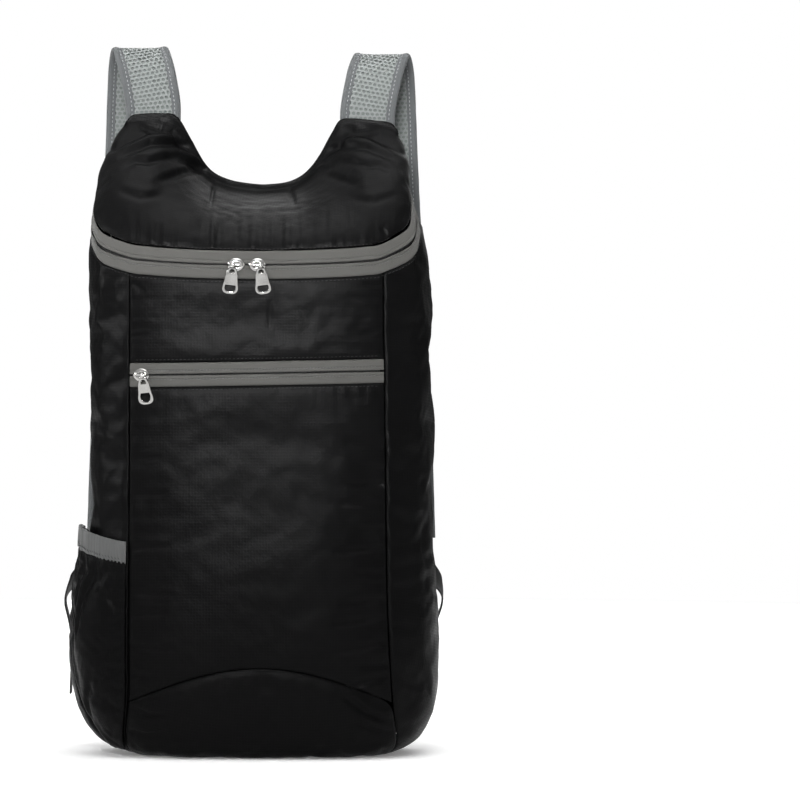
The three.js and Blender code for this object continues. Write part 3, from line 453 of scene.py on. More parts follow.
def cutPattern(piece, rise=up):  # flattens the skin as it was cut; returns its width, length and area
    alone(piece)
    mesh = piece.data
    while mesh.uv_layers:
        mesh.uv_layers.remove(mesh.uv_layers[0])
    layer = mesh.uv_layers.new(name="cut")
    bpy.ops.object.mode_set(mode="EDIT")
    bpy.ops.mesh.select_all(action="SELECT")
    bpy.ops.uv.unwrap(method="ANGLE_BASED", margin=0.0)
    bpy.ops.object.mode_set(mode="OBJECT")
    layer = mesh.uv_layers["cut"]
    flatArea, realArea = 0.0, 0.0
    lean = Vector((0, 0))
    for face in mesh.polygons:
        spots = [layer.data[i].uv.copy() for i in face.loop_indices]
        places = [mesh.vertices[mesh.loops[i].vertex_index].co for i in face.loop_indices]
        flatArea += abs(sum(a.cross(b) for a, b in zip(spots, spots[1:] + spots[:1]))) / 2
        realArea += face.area
        for k in range(len(spots)):
            climb = (places[k] - places[k - 1]).dot(rise)
            lean += (spots[k] - spots[k - 1]) * climb
    turn = Matrix.Rotation(math.pi / 2 - math.atan2(lean.y, lean.x), 2)
    grow = math.sqrt(realArea / flatArea)
    spots = [turn @ loop.uv * grow for loop in layer.data]
    low = Vector((min(s.x for s in spots), min(s.y for s in spots)))
    high = Vector((max(s.x for s in spots), max(s.y for s in spots)))
    for loop, spot in zip(layer.data, spots):
        loop.uv = spot - low
    return high.x - low.x, high.y - low.y, realArea


def edgeDistances(piece):
    mesh = piece.data
    uses = {}
    for face in mesh.polygons:
        for key in face.edge_keys:
            uses[key] = uses.get(key, 0) + 1
    border = {v for key, count in uses.items() if count == 1 for v in key}
    tree = kdtree.KDTree(len(border))
    for k, v in enumerate(sorted(border)):
        tree.insert(mesh.vertices[v].co, k)
    tree.balance()
    return [tree.find(v.co)[2] for v in mesh.vertices], border


simRuns = {"frames": 24, "quality": 6, "mass": 0.12, "stiffness": 12.0, "bending": 0.25, "damping": 4.0}


def relaxCloth(piece, slack, seamSlack, seamReach, cap, bending=None):
    distances, border = edgeDistances(piece)
    rest = [v.co.copy() for v in piece.data.vertices]
    normals = [v.normal.copy() for v in piece.data.vertices]
    for k, vertex in enumerate(piece.data.vertices):
        sway = noise.noise(rest[k] / (11 * mm)) + 0.6 * noise.noise(rest[k] / (5 * mm))
        vertex.co = rest[k] + normals[k] * sway * 0.35 * mm * min(distances[k] / (6 * mm), 1)
    held = piece.vertex_groups.new(name="held")
    loose = piece.vertex_groups.new(name="loose")
    held.add(sorted(border), 1.0, "REPLACE")
    for k, distance in enumerate(distances):
        loose.add([k], math.exp(-distance / seamReach), "REPLACE")
    alone(piece)
    cloth = piece.modifiers.new("cloth", "CLOTH")
    settings = cloth.settings
    settings.quality = simRuns["quality"]
    settings.mass = simRuns["mass"]
    settings.tension_stiffness = simRuns["stiffness"]
    settings.compression_stiffness = simRuns["stiffness"]
    settings.shear_stiffness = simRuns["stiffness"] * 0.5
    settings.bending_stiffness = bending or simRuns["bending"]
    settings.air_damping = simRuns["damping"]
    settings.vertex_group_mass = "held"
    settings.vertex_group_shrink = "loose"
    settings.shrink_min = -slack
    settings.shrink_max = -seamSlack
    settings.effector_weights.gravity = 0
    cloth.collision_settings.use_collision = False
    cloth.point_cache.frame_end = simRuns["frames"]
    scene = bpy.context.scene
    for step in range(1, simRuns["frames"] + 1):
        scene.frame_set(step)
    bpy.ops.object.modifier_apply(modifier="cloth")
    scene.frame_set(1)
    for k, vertex in enumerate(piece.data.vertices):
        moved = vertex.co - rest[k]
        if moved.length > cap:
            vertex.co = rest[k] + moved * (cap / moved.length)
        if k in border:
            vertex.co = rest[k]
    piece.vertex_groups.clear()


def moveOut(piece, relief):  # relief gives metres outwards at a point, its normal and its distance from the edge
    distances, _ = edgeDistances(piece)
    normals = [v.normal.copy() for v in piece.data.vertices]
    places = [v.co.copy() for v in piece.data.vertices]
    for k, vertex in enumerate(piece.data.vertices):
        vertex.co = places[k] + normals[k] * relief(places[k], normals[k], distances[k])
        vertex.co.z = max(vertex.co.z, 0.0)  # the floor holds it up


def closeSheet(piece, wall):
    useModifier(piece, "SOLIDIFY", thickness=wall, offset=-1, use_even_offset=False, use_quality_normals=True)
    alone(piece)
    bpy.ops.object.shade_smooth()


def bell(distance, width):
    return math.exp(-((distance / width) ** 2))


def foldRelief(folds, x, z):  # folds are drawn on the front in millimetres: path, width, depth, lip
    total = 0.0
    for fold in folds:
        path = fold["path"]
        best, side, at = 1e9, 1.0, 0.0
        for k in range(len(path) - 1):
            (ax, az), (bx, bz) = path[k], path[k + 1]
            dx, dz = bx - ax, bz - az
            span = dx * dx + dz * dz
            t = max(0.0, min(1.0, ((x - ax) * dx + (z - az) * dz) / span))
            offX, offZ = x - ax - dx * t, z - az - dz * t
            distance = math.hypot(offX, offZ)
            if distance < best:
                best = distance
                side = 1.0 if dx * offZ - dz * offX > 0 else -1.0
                at = (k + t) / (len(path) - 1)
        if best > 5 * fold["width"]:
            continue
        taper = math.sin(math.pi * min(max(at, 0.0), 1.0)) ** 0.5 if fold.get("taper", True) else 1.0
        taper = max(taper, fold.get("end", 0.15))
        total += fold["depth"] * bell(best, fold["width"]) * taper
        lip = fold.get("lip", 0.0)
        if lip:
            total += lip * bell(side * best - 1.5 * fold["width"], fold["width"] * 1.2) * taper
    return total


plainPanels = {"gusset_right", "back_panel"}  # their folds are broad, so their cells stay coarser


def clothPanel(name, cut, relief, rise=up, wall=1.2 * mm):
    mesh = skinOf(name, wall)
    piece = newPiece("cloth_" + name, mesh, nylon)
    evenCells(piece, cut["cell"])
    width, length, area = cutPattern(piece, rise)
    useModifier(piece, "SUBSURF", levels=cut.get("levels", 2), render_levels=cut.get("levels", 2), boundary_smooth="PRESERVE_CORNERS")
    relaxCloth(piece, cut["slack"], cut["seamSlack"], cut["seamReach"], cut["cap"], cut.get("bending"))
    if name not in plainPanels:
        useModifier(piece, "SUBSURF", levels=1, render_levels=1, boundary_smooth="PRESERVE_CORNERS")
    moveOut(piece, relief)
    closeSheet(piece, cut["wall"])
    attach(piece, "bag")
    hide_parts(name)
    print("backpack:", name, "cut", round(width, 3), "by", round(length, 3), "faces", len(piece.data.polygons))
    return piece


def ripple(place, size, seed):
    return noise.noise(Vector((place.x / size, place.y / size, place.z / size + seed)))


def seamPuckers(x, z, seams, spread=17.0):  # short level creases that run in from the upright seams
    total = 0.0
    for seam, strength in seams:
        reach = abs(x - seam)
        if reach > 3 * spread:
            continue
        wave = noise.noise(Vector((seam * 0.13, z / 6.5, 3.1))) + 0.55 * noise.noise(Vector((seam * 0.31, z / 2.9, 7.7)))
        total += strength * wave * math.exp(-reach / spread)
    return total


def pillow(edge):  # cloth stands a little proud of its seams
    return 0.8 * (1 - math.exp(-edge / (3 * mm)))


frontCut = {"cell": 16 * mm, "slack": 0.001, "seamSlack": 0.016, "seamReach": 13 * mm, "cap": 3 * mm, "wall": 0.7 * mm}
frontSeams = {"left": -92.3, "right": 88.5}
seamCreases = [  # seam, height, reach inwards, rise of the inner end, width, depth
    ("right", 222, 26, 5, 1.7, 1.7), ("right", 207, 16, 1, 1.3, 1.0), ("right", 196, 24, -1, 1.6, 1.5),
    ("right", 181, 30, 2, 1.7, 1.6), ("right", 165, 18, -2, 1.4, 1.1), ("right", 151, 34, -3, 1.8, 1.9),
    ("right", 131, 20, 2, 1.5, 1.2), ("right", 114, 30, -3, 1.8, 1.8), ("right", 102, 34, -5, 1.9, 2.0),
    ("right", 84, 32, -6, 2.0, 2.1), ("right", 60, 38, -9, 2.3, 2.4),
    ("left", 214, 22, 1, 1.5, 1.2), ("left", 187, 26, 3, 1.6, 1.3), ("left", 150, 28, 2, 1.7, 1.6),
    ("left", 119, 30, -1, 1.7, 1.6), ("left", 102.5, 26, 2, 1.7, 1.5), ("left", 82, 30, -3, 1.9, 1.8),
    ("left", 62, 20, -3, 1.6, 1.2), ("right", 335, 14, 3, 1.3, 0.9), ("right", 305, 16, -2, 1.4, 1.0),
    ("left", 300, 14, 2, 1.3, 0.8),
]
frontFolds = [
    {"path": [(-90, 339), (-86, 336), (-82, 331)], "width": 1.4, "depth": -1.2, "lip": 0.4},
    {"path": [(8, 328), (7, 305)], "width": 1.3, "depth": -0.7},
]
for seam, height, reach, rise, width, depth in seamCreases:
    edge, inwards = frontSeams[seam], -1 if seam == "right" else 1
    path = [(edge - inwards, height), (edge + inwards * reach / 2, height + rise * 0.7), (edge + inwards * reach, height + rise)]
    frontFolds.append({"path": path, "width": width, "depth": -depth, "lip": depth * 0.35, "end": 0.3})


def frontRelief(place, normal, edge):
    x, z = place.x / mm, place.z / mm
    soft = min(edge / (3.0 * mm), 1.0)
    total = foldRelief(frontFolds, x, z) + seamPuckers(x, z, [(frontSeams["left"], 0.7), (frontSeams["right"], 1.1)])
    total += 0.35 * ripple(place, 52 * mm, 1.7) + 0.15 * ripple(place, 19 * mm, 4.2)
    low = max(0.0, min(1.0, (262 - z) / 20)) if z < 268 else 1.0
    gathers = 0.35 * noise.noise(Vector((x / 3.6, z / 30, 8.4))) * (1 - low)
    return (total + gathers + pillow(edge)) * mm * soft


dressed = {}
for node in ("front_pocket_panel", "front_upper_panel"):
    dressed[node] = clothPanel(node, frontCut, frontRelief)

lidCut = {"cell": 14 * mm, "slack": 0.003, "seamSlack": 0.026, "seamReach": 16 * mm, "cap": 4 * mm, "wall": 0.7 * mm}
lidFolds = [
    {"path": [(-108.3, 432.4), (-93, 440), (-80.7, 446.1), (-72.8, 448.6), (-64.8, 446.1), (-57.5, 436.7), (-52, 431)],
     "width": 2.2, "depth": -3.2, "lip": -0.6, "end": 0.4},
    {"path": [(-86, 449), (-73, 449.5)], "width": 2.4, "depth": -2.6, "end": 0.5},
    {"path": [(-99.5, 428.1), (-92.3, 432.4), (-80, 438.1), (-61.9, 438.1), (-54, 436)],
     "width": 2.6, "depth": -3.4, "lip": 1.7},
    {"path": [(-97.9, 420.5), (-89.5, 425.1), (-80.7, 424.5), (-72, 426.6), (-57.5, 428.1)],
     "width": 2.6, "depth": -2.6, "lip": 1.1},
    {"path": [(-57.5, 431), (-49, 427.2), (-42.3, 422.6)], "width": 1.6, "depth": 2.0, "end": 0.5},
    {"path": [(-56, 424.5), (-48, 422), (-43, 419)], "width": 2.8, "depth": -4.0, "end": 0.5},
    {"path": [(-73.5, 410.7), (-64.8, 413.5), (-54.7, 417.2), (-44, 418)], "width": 2.6, "depth": -2.4, "lip": 0.9},
    {"path": [(-34.4, 407), (-35.5, 392.6)], "width": 1.4, "depth": -1.6, "end": 0.4},
    {"path": [(21, 405), (24, 394)], "width": 1.5, "depth": -1.5, "end": 0.4},
    {"path": [(87, 378), (91, 370)], "width": 1.6, "depth": -1.4, "lip": 0.4},
    {"path": [(-101, 404), (-86, 399), (-70, 400)], "width": 2.6, "depth": -1.5, "lip": 0.7},
]


def lidRelief(place, normal, edge):
    x, z = place.x / mm, place.z / mm
    soft = min(edge / (3.0 * mm), 1.0)
    total = foldRelief(lidFolds, x, z)
    if x > 40:  # the right horn's folds are lower and softer
        total += 0.7 * foldRelief(lidFolds, -x - 4, z + 3) * min(1.0, (x - 40) / 10)
    low = max(0.0, min(1.0, (394 - z) / 16))
    gathers = noise.noise(Vector((x / 3.4, z / 60, 0.4))) + 0.6 * noise.noise(Vector((x / 8.0, z / 80, 5.4)))
    total += 1.1 * gathers * low * min(1.0, max(0.0, (110 - abs(x)) / 20))
    total += 0.3 * ripple(place, 34 * mm, 2.3)
    return (total + pillow(edge)) * mm * soft


dressed["lid_panel"] = clothPanel("lid_panel", lidCut, lidRelief)

sideCut = {"cell": 16 * mm, "slack": 0.008, "seamSlack": 0.035, "seamReach": 16 * mm, "cap": 4 * mm, "wall": 0.7 * mm}


def sideRelief(place, normal, edge):
    soft = min(edge / (4 * mm), 1.0)
    total = 1.3 * ripple(place, 44 * mm, 6.1) + 0.5 * ripple(place, 17 * mm, 2.9)
    total += 0.9 * ripple(Vector((place.x, place.y * 0.4, place.z * 1.6)), 14 * mm, 5.2) * math.exp(-edge / (16 * mm))
    return (total + pillow(edge)) * mm * soft


for node in ("gusset_left", "gusset_right"):
    dressed[node] = clothPanel(node, sideCut, sideRelief)

baseCut = {"cell": 16 * mm, "slack": 0.005, "seamSlack": 0.02, "seamReach": 12 * mm, "cap": 2.5 * mm, "wall": 0.7 * mm}
baseFolds = [
    {"path": [(60, 46), (76, 34), (94, 26)], "width": 2.2, "depth": -2.0, "lip": 0.7},
    {"path": [(66, 28), (80, 22), (95, 18)], "width": 2.0, "depth": -1.7, "lip": 0.5},
    {"path": [(-95, 38), (-78, 32), (-62, 33)], "width": 2.0, "depth": -1.6, "lip": 0.5},
    {"path": [(-95, 20), (-80, 17), (-66, 19)], "width": 1.8, "depth": -1.4, "lip": 0.4},
]


def baseRelief(place, normal, edge):
    x, z = place.x / mm, place.z / mm
    soft = min(edge / (4 * mm), 1.0) * max(0.0, min(1.0, z / 12))
    total = 0.9 * ripple(place, 34 * mm, 9.1) + seamPuckers(x, z, [(-95, 0.8), (96, 1.0)])
    total += foldRelief(baseFolds, x, z)
    return (total + pillow(edge)) * mm * soft


dressed["base_panel"] = clothPanel("base_panel", baseCut, baseRelief, Vector((0, -1, 1)))

backCut = {"cell": 20 * mm, "slack": 0.004, "seamSlack": 0.02, "seamReach": 20 * mm, "cap": 2.5 * mm, "wall": 0.7 * mm}


def backRelief(place, normal, edge):
    soft = min(edge / (6 * mm), 1.0)
    total = 0.7 * ripple(place, 42 * mm, 3.6) + 0.3 * ripple(place, 15 * mm, 8.3) - 0.5
    return total * mm * soft


dressed["back_panel"] = clothPanel("back_panel", backCut, backRelief)

pocketCut = {"cell": 9 * mm, "slack": 0.012, "seamSlack": 0.035, "seamReach": 10 * mm, "cap": 2.5 * mm, "wall": 0.7 * mm}
pocketFolds = [  # seen from the side: depth and height in millimetres
    {"path": [(-24.6, 14), (-22.7, 35.4), (-19.6, 48.9), (-16.4, 63.5), (-14.2, 78.9), (-12.0, 112), (-11.4, 146)],
     "width": 3.0, "depth": -6.0, "lip": 2.6, "end": 0.7},
    {"path": [(-44, 142), (-38, 118), (-33, 86)], "width": 2.4, "depth": -1.8, "lip": 0.9},
    {"path": [(-31, 143), (-27, 112), (-24, 74)], "width": 2.2, "depth": -1.6, "lip": 0.8},
    {"path": [(4, 146), (6, 116), (3, 80)], "width": 2.6, "depth": -1.8, "lip": 0.9},
    {"path": [(24, 145), (22, 110), (17, 70)], "width": 2.8, "depth": -1.8, "lip": 0.9},
    {"path": [(-46, 60), (-36, 44), (-28, 24)], "width": 2.4, "depth": -1.5, "lip": 0.7},
    {"path": [(30, 40), (16, 26), (0, 18)], "width": 2.6, "depth": -1.4, "lip": 0.6},
]


def pocketRelief(place, normal, edge):
    y, z = place.y / mm, place.z / mm
    soft = min(edge / (3 * mm), 1.0)
    high = max(0.0, min(1.0, (z - 96) / 50))
    gathers = 0.9 * noise.noise(Vector((y / 3.4, z / 70, 2.2))) * high ** 2
    total = foldRelief(pocketFolds, y, z) + gathers + 0.5 * ripple(place, 22 * mm, 5.5)
    return total * mm * soft


dressed["side_pocket"] = clothPanel("side_pocket", pocketCut, pocketRelief)


def ahead(direction, hint):
    return direction if direction.dot(hint) >= 0 else -direction


def eased(a, b, c, d, t):  # a smooth way from b to c
    return b + 0.5 * t * ((c - a) + t * ((2 * a - 5 * b + 4 * c - d) + t * (3 * (b - c) + d - a)))


def shortestStep(rings):
    middles = [sum(ring, Vector()) / 4 for ring in rings]
    return min((b - a).length for a, b in zip(middles, middles[1:]))


def ringsOf(name, towards):  # the four corners of each of a strip's rings, from the end that lies towards
    shell = mergedCopy(name)
    shell.verts.index_update()
    tip = max(shell.verts, key=lambda v: v.co.dot(towards))
    mates = {far for e in tip.link_edges for f in e.other_vert(tip).link_edges for far in f.verts} - {tip}
    mates = sorted(mates, key=lambda v: ((v.co - tip.co).length, v.index))[:9]
    found = []
    for cap in itertools.combinations(mates, 3):
        ring, seen, rings = [tip, *cap], {tip, *cap}, []
        while len(ring) == 4:
            rings.append([v.co.copy() for v in ring])
            near = {e.other_vert(v) for v in ring for e in v.link_edges} - seen
            ring = sorted(near, key=lambda v: v.index)
            seen.update(ring)
        if 4 * len(rings) == len(shell.verts):
            found.append(rings)
    shell.free()
    return max(found, key=shortestStep)


class Strip:  # a band's run: its middle line, its width and the way that its face looks
    def __init__(self, node, towards, out, wide, spacing=3 * mm):
        out, wide, rows = Vector(out), Vector(wide), []
        for corners in ringsOf(node, Vector(towards)):
            first = corners[0]
            thinMate, wideMate, _ = sorted(corners[1:], key=lambda corner: (corner - first).length)
            out, wide = ahead(thinMate - first, out), ahead(wideMate - first, wide)
            rows.append((sum(corners, Vector()) / 4, wide, out))
        self.rows = []
        for k in range(len(rows) - 1):
            near = (rows[max(k - 1, 0)], rows[k], rows[k + 1], rows[min(k + 2, len(rows) - 1)])
            parts = max(1, round((rows[k + 1][0] - rows[k][0]).length / spacing))
            self.rows += [[eased(*four, part / parts) for four in zip(*near)] for part in range(parts)]
        self.rows.append(rows[-1])
        self.runs = [0.0]
        for before, after in zip(self.rows, self.rows[1:]):
            self.runs.append(self.runs[-1] + (after[0] - before[0]).length)
        self.length = self.runs[-1]
        self.width, self.wall = (rows[len(rows) // 2][k].length for k in (1, 2))

    def frame(self, run):
        k = min(max(bisect.bisect_right(self.runs, run) - 1, 0), len(self.rows) - 2)
        share = (run - self.runs[k]) / (self.runs[k + 1] - self.runs[k])
        middle, wide, out = (a.lerp(b, share) for a, b in zip(self.rows[k], self.rows[k + 1]))
        return middle, wide.normalized(), out.normalized()

    def spot(self, run, across, lift=0.0):
        middle, wide, out = self.frame(run)
        return middle + wide * across + out * lift


def closeUp(piece, angle=40):  # faces outwards, smooth but for real edges
    shell = bmesh.new()
    shell.from_mesh(piece.data)
    bmesh.ops.remove_doubles(shell, verts=shell.verts, dist=0.004 * mm)
    bmesh.ops.recalc_face_normals(shell, faces=shell.faces)
    shell.to_mesh(piece.data)
    shell.free()
    alone(piece)
    bpy.ops.object.shade_smooth_by_angle(angle=math.radians(angle))


def bandOf(name, strip, section, finish, spacing):  # section gives the points round the band at a run
    count = max(2, round(strip.length / spacing))
    runs = [strip.length * k / count for k in range(count + 1)]
    rings = [section(run) for run in runs]
    around = len(rings[0])
    girth = [0.0]
    for (a, b), (c, d) in zip(rings[0], rings[0][1:] + rings[0][:1]):
        girth.append(girth[-1] + math.hypot(c - a, d - b))
    places = [strip.spot(run, *point) for run, ring in zip(runs, rings) for point in ring]
    faces, spots = [], []
    for k in range(count):
        for j in range(around):
            here, there, after = k * around + j, (k + 1) * around + j, (j + 1) % around
            faces.append((here, there, (k + 1) * around + after, k * around + after))
            spots += [(runs[k], girth[j]), (runs[k + 1], girth[j]), (runs[k + 1], girth[j + 1]), (runs[k], girth[j + 1])]
    for k in (0, count):
        faces.append(tuple(k * around + j for j in range(around)))
        spots += [(runs[k], girth[j]) for j in range(around)]
    mesh = bpy.data.meshes.new(name)
    mesh.from_pydata(places, [], faces)
    layer = mesh.uv_layers.new(name="cut")
    for loop, spot in zip(layer.data, spots):
        loop.uv = spot
    piece = newPiece(name, mesh, finish)
    closeUp(piece, 55)
    return piece


def settle(piece, body, slot, *replaced):
    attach(piece, body)
    if replaced:
        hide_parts(*replaced)


def roundBand(width, wall, parts=6, crown=0.0):  # a flat band's section with round edges
    half, round_ = width / 2, wall / 2
    spread = [(-half + round_ + (width - wall) * k / parts, 1 - (2 * k / parts - 1) ** 2) for k in range(parts + 1)]
    tip = [(round_ * math.sin(turn), round_ * math.cos(turn)) for turn in (0.8, 1.57, 2.34)]
    upper = [(across, round_ + crown * rise) for across, rise in spread]
    lower = [(across, -round_) for across, _ in reversed(spread)]
    return upper + [(half - round_ + a, b) for a, b in tip] + lower + [(-half + round_ - a, -b) for a, b in tip]


thread = {"sides": 6, "rings": [(-0.5, 0.35, -0.9), (-0.28, 0.95, 0.0), (0.28, 0.95, 0.0), (0.5, 0.35, -0.9)]}


def stitchRow(name, marks, length, radius, finish, slot):  # marks hold place, way along and way out
    places, faces = [], []
    sides = thread["sides"]
    for place, along, out in marks:
        aside = along.cross(out).normalized()
        start = len(places)
        for share, swell, sink in thread["rings"]:
            middle = place + along * share * length + out * sink * radius
            for k in range(sides):
                turn = 2 * math.pi * k / sides
                places.append(middle + (aside * math.cos(turn) + out * math.sin(turn)) * radius * swell)
        for ring in range(len(thread["rings"]) - 1):
            low = start + ring * sides
            faces += [(low + k, low + (k + 1) % sides, low + sides + (k + 1) % sides, low + sides + k) for k in range(sides)]
        last = start + (len(thread["rings"]) - 1) * sides
        faces += [tuple(start + k for k in reversed(range(sides))), tuple(last + k for k in range(sides))]
    mesh = bpy.data.meshes.new(name)
    mesh.from_pydata(places, [], faces)
    piece = newPiece(name, mesh, finish)
    closeUp(piece, 60)
    settle(piece, "bag", slot)


def marksAlong(strip, across, lift, pitch, lean=0.0, ends=0.004):
    marks = []
    for k in range(int((strip.length - 2 * ends) / pitch)):
        run = ends + (k + 0.5) * pitch
        middle, wide, out = strip.frame(run)
        along = (strip.frame(run + 0.5 * mm)[0] - middle).normalized()
        along = (along + wide * lean).normalized()
        marks.append((middle + wide * across + out * lift, along, out))
    return marks


def surfaceOf(*names):
    trees = []
    for name in names:
        mesh = dressed[name].data
        places = [v.co.copy() for v in mesh.vertices]
        trees.append(bvhtree.BVHTree.FromPolygons(places, [tuple(p.vertices) for p in mesh.polygons]))
    return trees


def marksOnCloth(strip, across, pitch, trees, sink=0.05 * mm):  # stitches that lie on the cloth beside a band
    marks = []
    for place, along, out in marksAlong(strip, across, 1.5 * mm, pitch):
        hits = [tree.find_nearest(place, 6 * mm) for tree in trees]
        hits = [hit for hit in hits if hit[0] is not None]
        if hits:
            spot, normal, _, _ = min(hits, key=lambda hit: hit[3])
            if normal.dot(out) > 0.3:
                marks.append((spot - normal * sink, along, normal))
    return marks


tape = {"crown": 0.28 * mm, "groove": 0.34 * mm, "grooveAt": 2.5 * mm, "wave": 0.16 * mm, "drop": 0.35 * mm}
tapeSteps = [0.3, 0.8, 1.5, 2.0, 2.3, 2.5, 2.7, 3.0, 3.6, 5.0, 6.8, 8.2]


def tapeSection(strip, slitSide):  # slitSide is 1 where the slit lies on the wide side
    half, wall = strip.width / 2, strip.wall / 2
    steps = [step * mm for step in tapeSteps if step * mm < strip.width - 1.0 * mm]

    def section(run):
        wave = tape["wave"] * noise.noise(Vector((run / (7 * mm), 0.3, slitSide)))
        points = [(0.0, 0.0)]
        for at in steps:
            height = wall + tape["crown"] * bell(at - 1.2 * mm, 1.2 * mm)
            height -= tape["groove"] * bell(at - tape["grooveAt"], 0.3 * mm)
            points.append((at, height + wave * at / strip.width))
        points.append((strip.width - 0.4 * mm, wall - tape["drop"] + wave))
        points.append((strip.width, -wall * 0.6 + wave))
        points += [(at, -wall) for at in (strip.width - 0.5 * mm, strip.width * 0.5, 0.4 * mm)]
        return [(slitSide * (half - at), height) for at, height in points]

    return section


def mouthWay(node):
    return Strip(node, (-0.5, 1, 0), (-1, 0.5, 0), (0, 0, 1))


def pocketWay(node):
    return Strip(node, (-1, 0, 0), (0, -1, 0), (0, 0, 1))


def dressTape(node, strip, slitSide):
    piece = bandOf("woven_" + node, strip, tapeSection(strip, slitSide), zipBand, 2.4 * mm)
    settle(piece, "bag", "zip_tape", node)


coilShape = {"pitch": 1.3 * mm, "wire": 0.30 * mm, "steps": 10, "sides": 5}


def dressCoil(node, strip):  # one flattened spiral, wound behind the tapes' slit
    wide, deep = strip.width / 2 - coilShape["wire"], strip.wall / 2 - coilShape["wire"] * 0.6
    count = int(strip.length / coilShape["pitch"]) * coilShape["steps"]
    line = []
    for k in range(count + 1):
        turn = 2 * math.pi * k / coilShape["steps"]
        run = 0.5 * mm + k * coilShape["pitch"] / coilShape["steps"]
        line.append(strip.spot(min(run, strip.length), wide * math.cos(turn), deep * math.sin(turn)))
    places, faces = [], []
    sides = coilShape["sides"]
    for k, here in enumerate(line):
        along = (line[min(k + 1, count)] - line[max(k - 1, 0)]).normalized()
        aside = along.cross(strip.frame(0)[2] + Vector((0.01, 0.02, 0.03))).normalized()
        above = aside.cross(along)
        for side in range(sides):
            turn = 2 * math.pi * side / sides
            places.append(here + (aside * math.cos(turn) + above * math.sin(turn)) * coilShape["wire"])
    for k in range(count):
        low = k * sides
        faces += [(low + s, low + (s + 1) % sides, low + sides + (s + 1) % sides, low + sides + s) for s in range(sides)]
    faces += [tuple(range(sides)), tuple(count * sides + s for s in range(sides))]
    mesh = bpy.data.meshes.new(node)
    mesh.from_pydata(places, [], faces)
    piece = newPiece("spiral_" + node, mesh, coilNylon)
    closeUp(piece, 80)
    settle(piece, "bag", "zip_coil", node)


def dressZips():
    ways = {}
    for place, way in (("main", mouthWay), ("pocket", pocketWay)):
        for part, slitSide in (("lower", 1), ("upper", -1)):
            node = f"{place}_zip_tape_{part}"
            ways[place, part] = way(node)
            dressTape(node, ways[place, part], slitSide)
        dressCoil(f"{place}_zip_coil", way(f"{place}_zip_coil"))
    for (place, part), strip in ways.items():
        slitSide = 1 if part == "lower" else -1
        if place == "pocket" or part == "lower":
            at = slitSide * (strip.width / 2 - tape["grooveAt"])
            marks = marksAlong(strip, at, strip.wall / 2 - 0.12 * mm, 2.3 * mm)
            stitchRow(f"stitches_{place}_{part}", marks, 1.7 * mm, 0.17 * mm, greyThread, "zip_tape")
        beside = {"main": {"lower": ("front_upper_panel", "gusset_left", "gusset_right"), "upper": ("lid_panel",)},
                  "pocket": {"lower": ("front_pocket_panel",), "upper": ("front_upper_panel",)}}[place][part]
        at = -slitSide * (strip.width / 2 + 2.0 * mm)
        marks = marksOnCloth(strip, at, 2.9 * mm, surfaceOf(*beside))
        stitchRow(f"hem_stitches_{place}_{part}", marks, 2.1 * mm, 0.22 * mm, blackThread, "nylon")


dressZips()
print("backpack: zips made")

elasticShape = {"gather": 0.32 * mm, "pitch": 3.1 * mm, "rise": 0.5 * mm}


def dressTrim():
    node = "side_pocket_trim"
    strip = Strip(node, (1, -1, 0), (-0.3, -1, 0), (0, 0, 1))

    def section(run):
        ripples = math.cos(2 * math.pi * run / elasticShape["pitch"] + 1.5 * noise.noise(Vector((run / (9 * mm), 0, 4))))
        points = roundBand(strip.width, strip.wall * 0.9, 8, 0.25 * mm)
        return [(a + elasticShape["rise"] * noise.noise(Vector((run / (14 * mm), 1, 2))),
                 b + elasticShape["gather"] * ripples * (0.45 + 0.55 * bell(a + strip.width / 2, 5 * mm))) for a, b in points]

    piece = bandOf("elastic_trim", strip, section, elastic, 0.8 * mm)
    settle(piece, "bag", "edge_binding", node)
    marks = marksAlong(strip, -strip.width / 2 + 3.2 * mm, strip.wall / 2 + 0.25 * mm, 2.6 * mm, 0.9)
    stitchRow("trim_stitches", marks, 2.4 * mm, 0.2 * mm, blackThread, "edge_binding")


dressTrim()

net = {"across": 3.4 * mm, "along": 3.1 * mm, "columns": 9, "holeAcross": 1.34 * mm, "holeAlong": 1.16 * mm,
       "wall": 0.7 * mm, "core": 1.5 * mm}
cellRim = [(-1, -1), (0, -1), (1, -1), (1, 0), (1, 1), (0, 1), (-1, 1), (-1, 0)]


def netSheet(name, strip, side):  # one net, with its holes open, on the pad's face that looks to that side
    rows = int(strip.length / net["along"])
    step = strip.length / rows
    lift = side * (strip.wall / 2 - net["wall"] / 2)
    places, known, faces = [], {}, []

    def corner(across, run):
        key = (round(across / (0.01 * mm)), round(run / (0.01 * mm)))
        if key not in known:
            known[key] = len(places)
            edge = min(1.0, (strip.width / 2 + 2 * mm - abs(across)) / (6 * mm))
            places.append(strip.spot(run, across, lift - side * 0.5 * mm * (1 - edge) ** 2))
        return known[key]

    for row in range(rows):
        columns = net["columns"] - row % 2
        for column in range(columns):
            middle = (column - (columns - 1) / 2) * net["across"]
            run = (row + 0.5) * step
            outer = [corner(middle + a * net["across"] / 2, run + b * step / 2) for a, b in cellRim]
            wobble = 1 + 0.12 * noise.noise(Vector((column * 1.7, row * 1.3, side)))
            inner = []
            for a, b in cellRim:
                length = math.hypot(a, b)
                across = middle + a / length * net["holeAcross"] * wobble
                inner.append(corner(across, run + b / length * net["holeAlong"] * wobble))
            faces += [(outer[k], outer[(k + 1) % 8], inner[(k + 1) % 8], inner[k]) for k in range(8)]
    mesh = bpy.data.meshes.new(name)
    mesh.from_pydata(places, [], faces)
    piece = newPiece(name, mesh, airMesh)
    useModifier(piece, "SOLIDIFY", thickness=net["wall"], offset=0, use_even_offset=False)
    closeUp(piece, 50)
    return piece


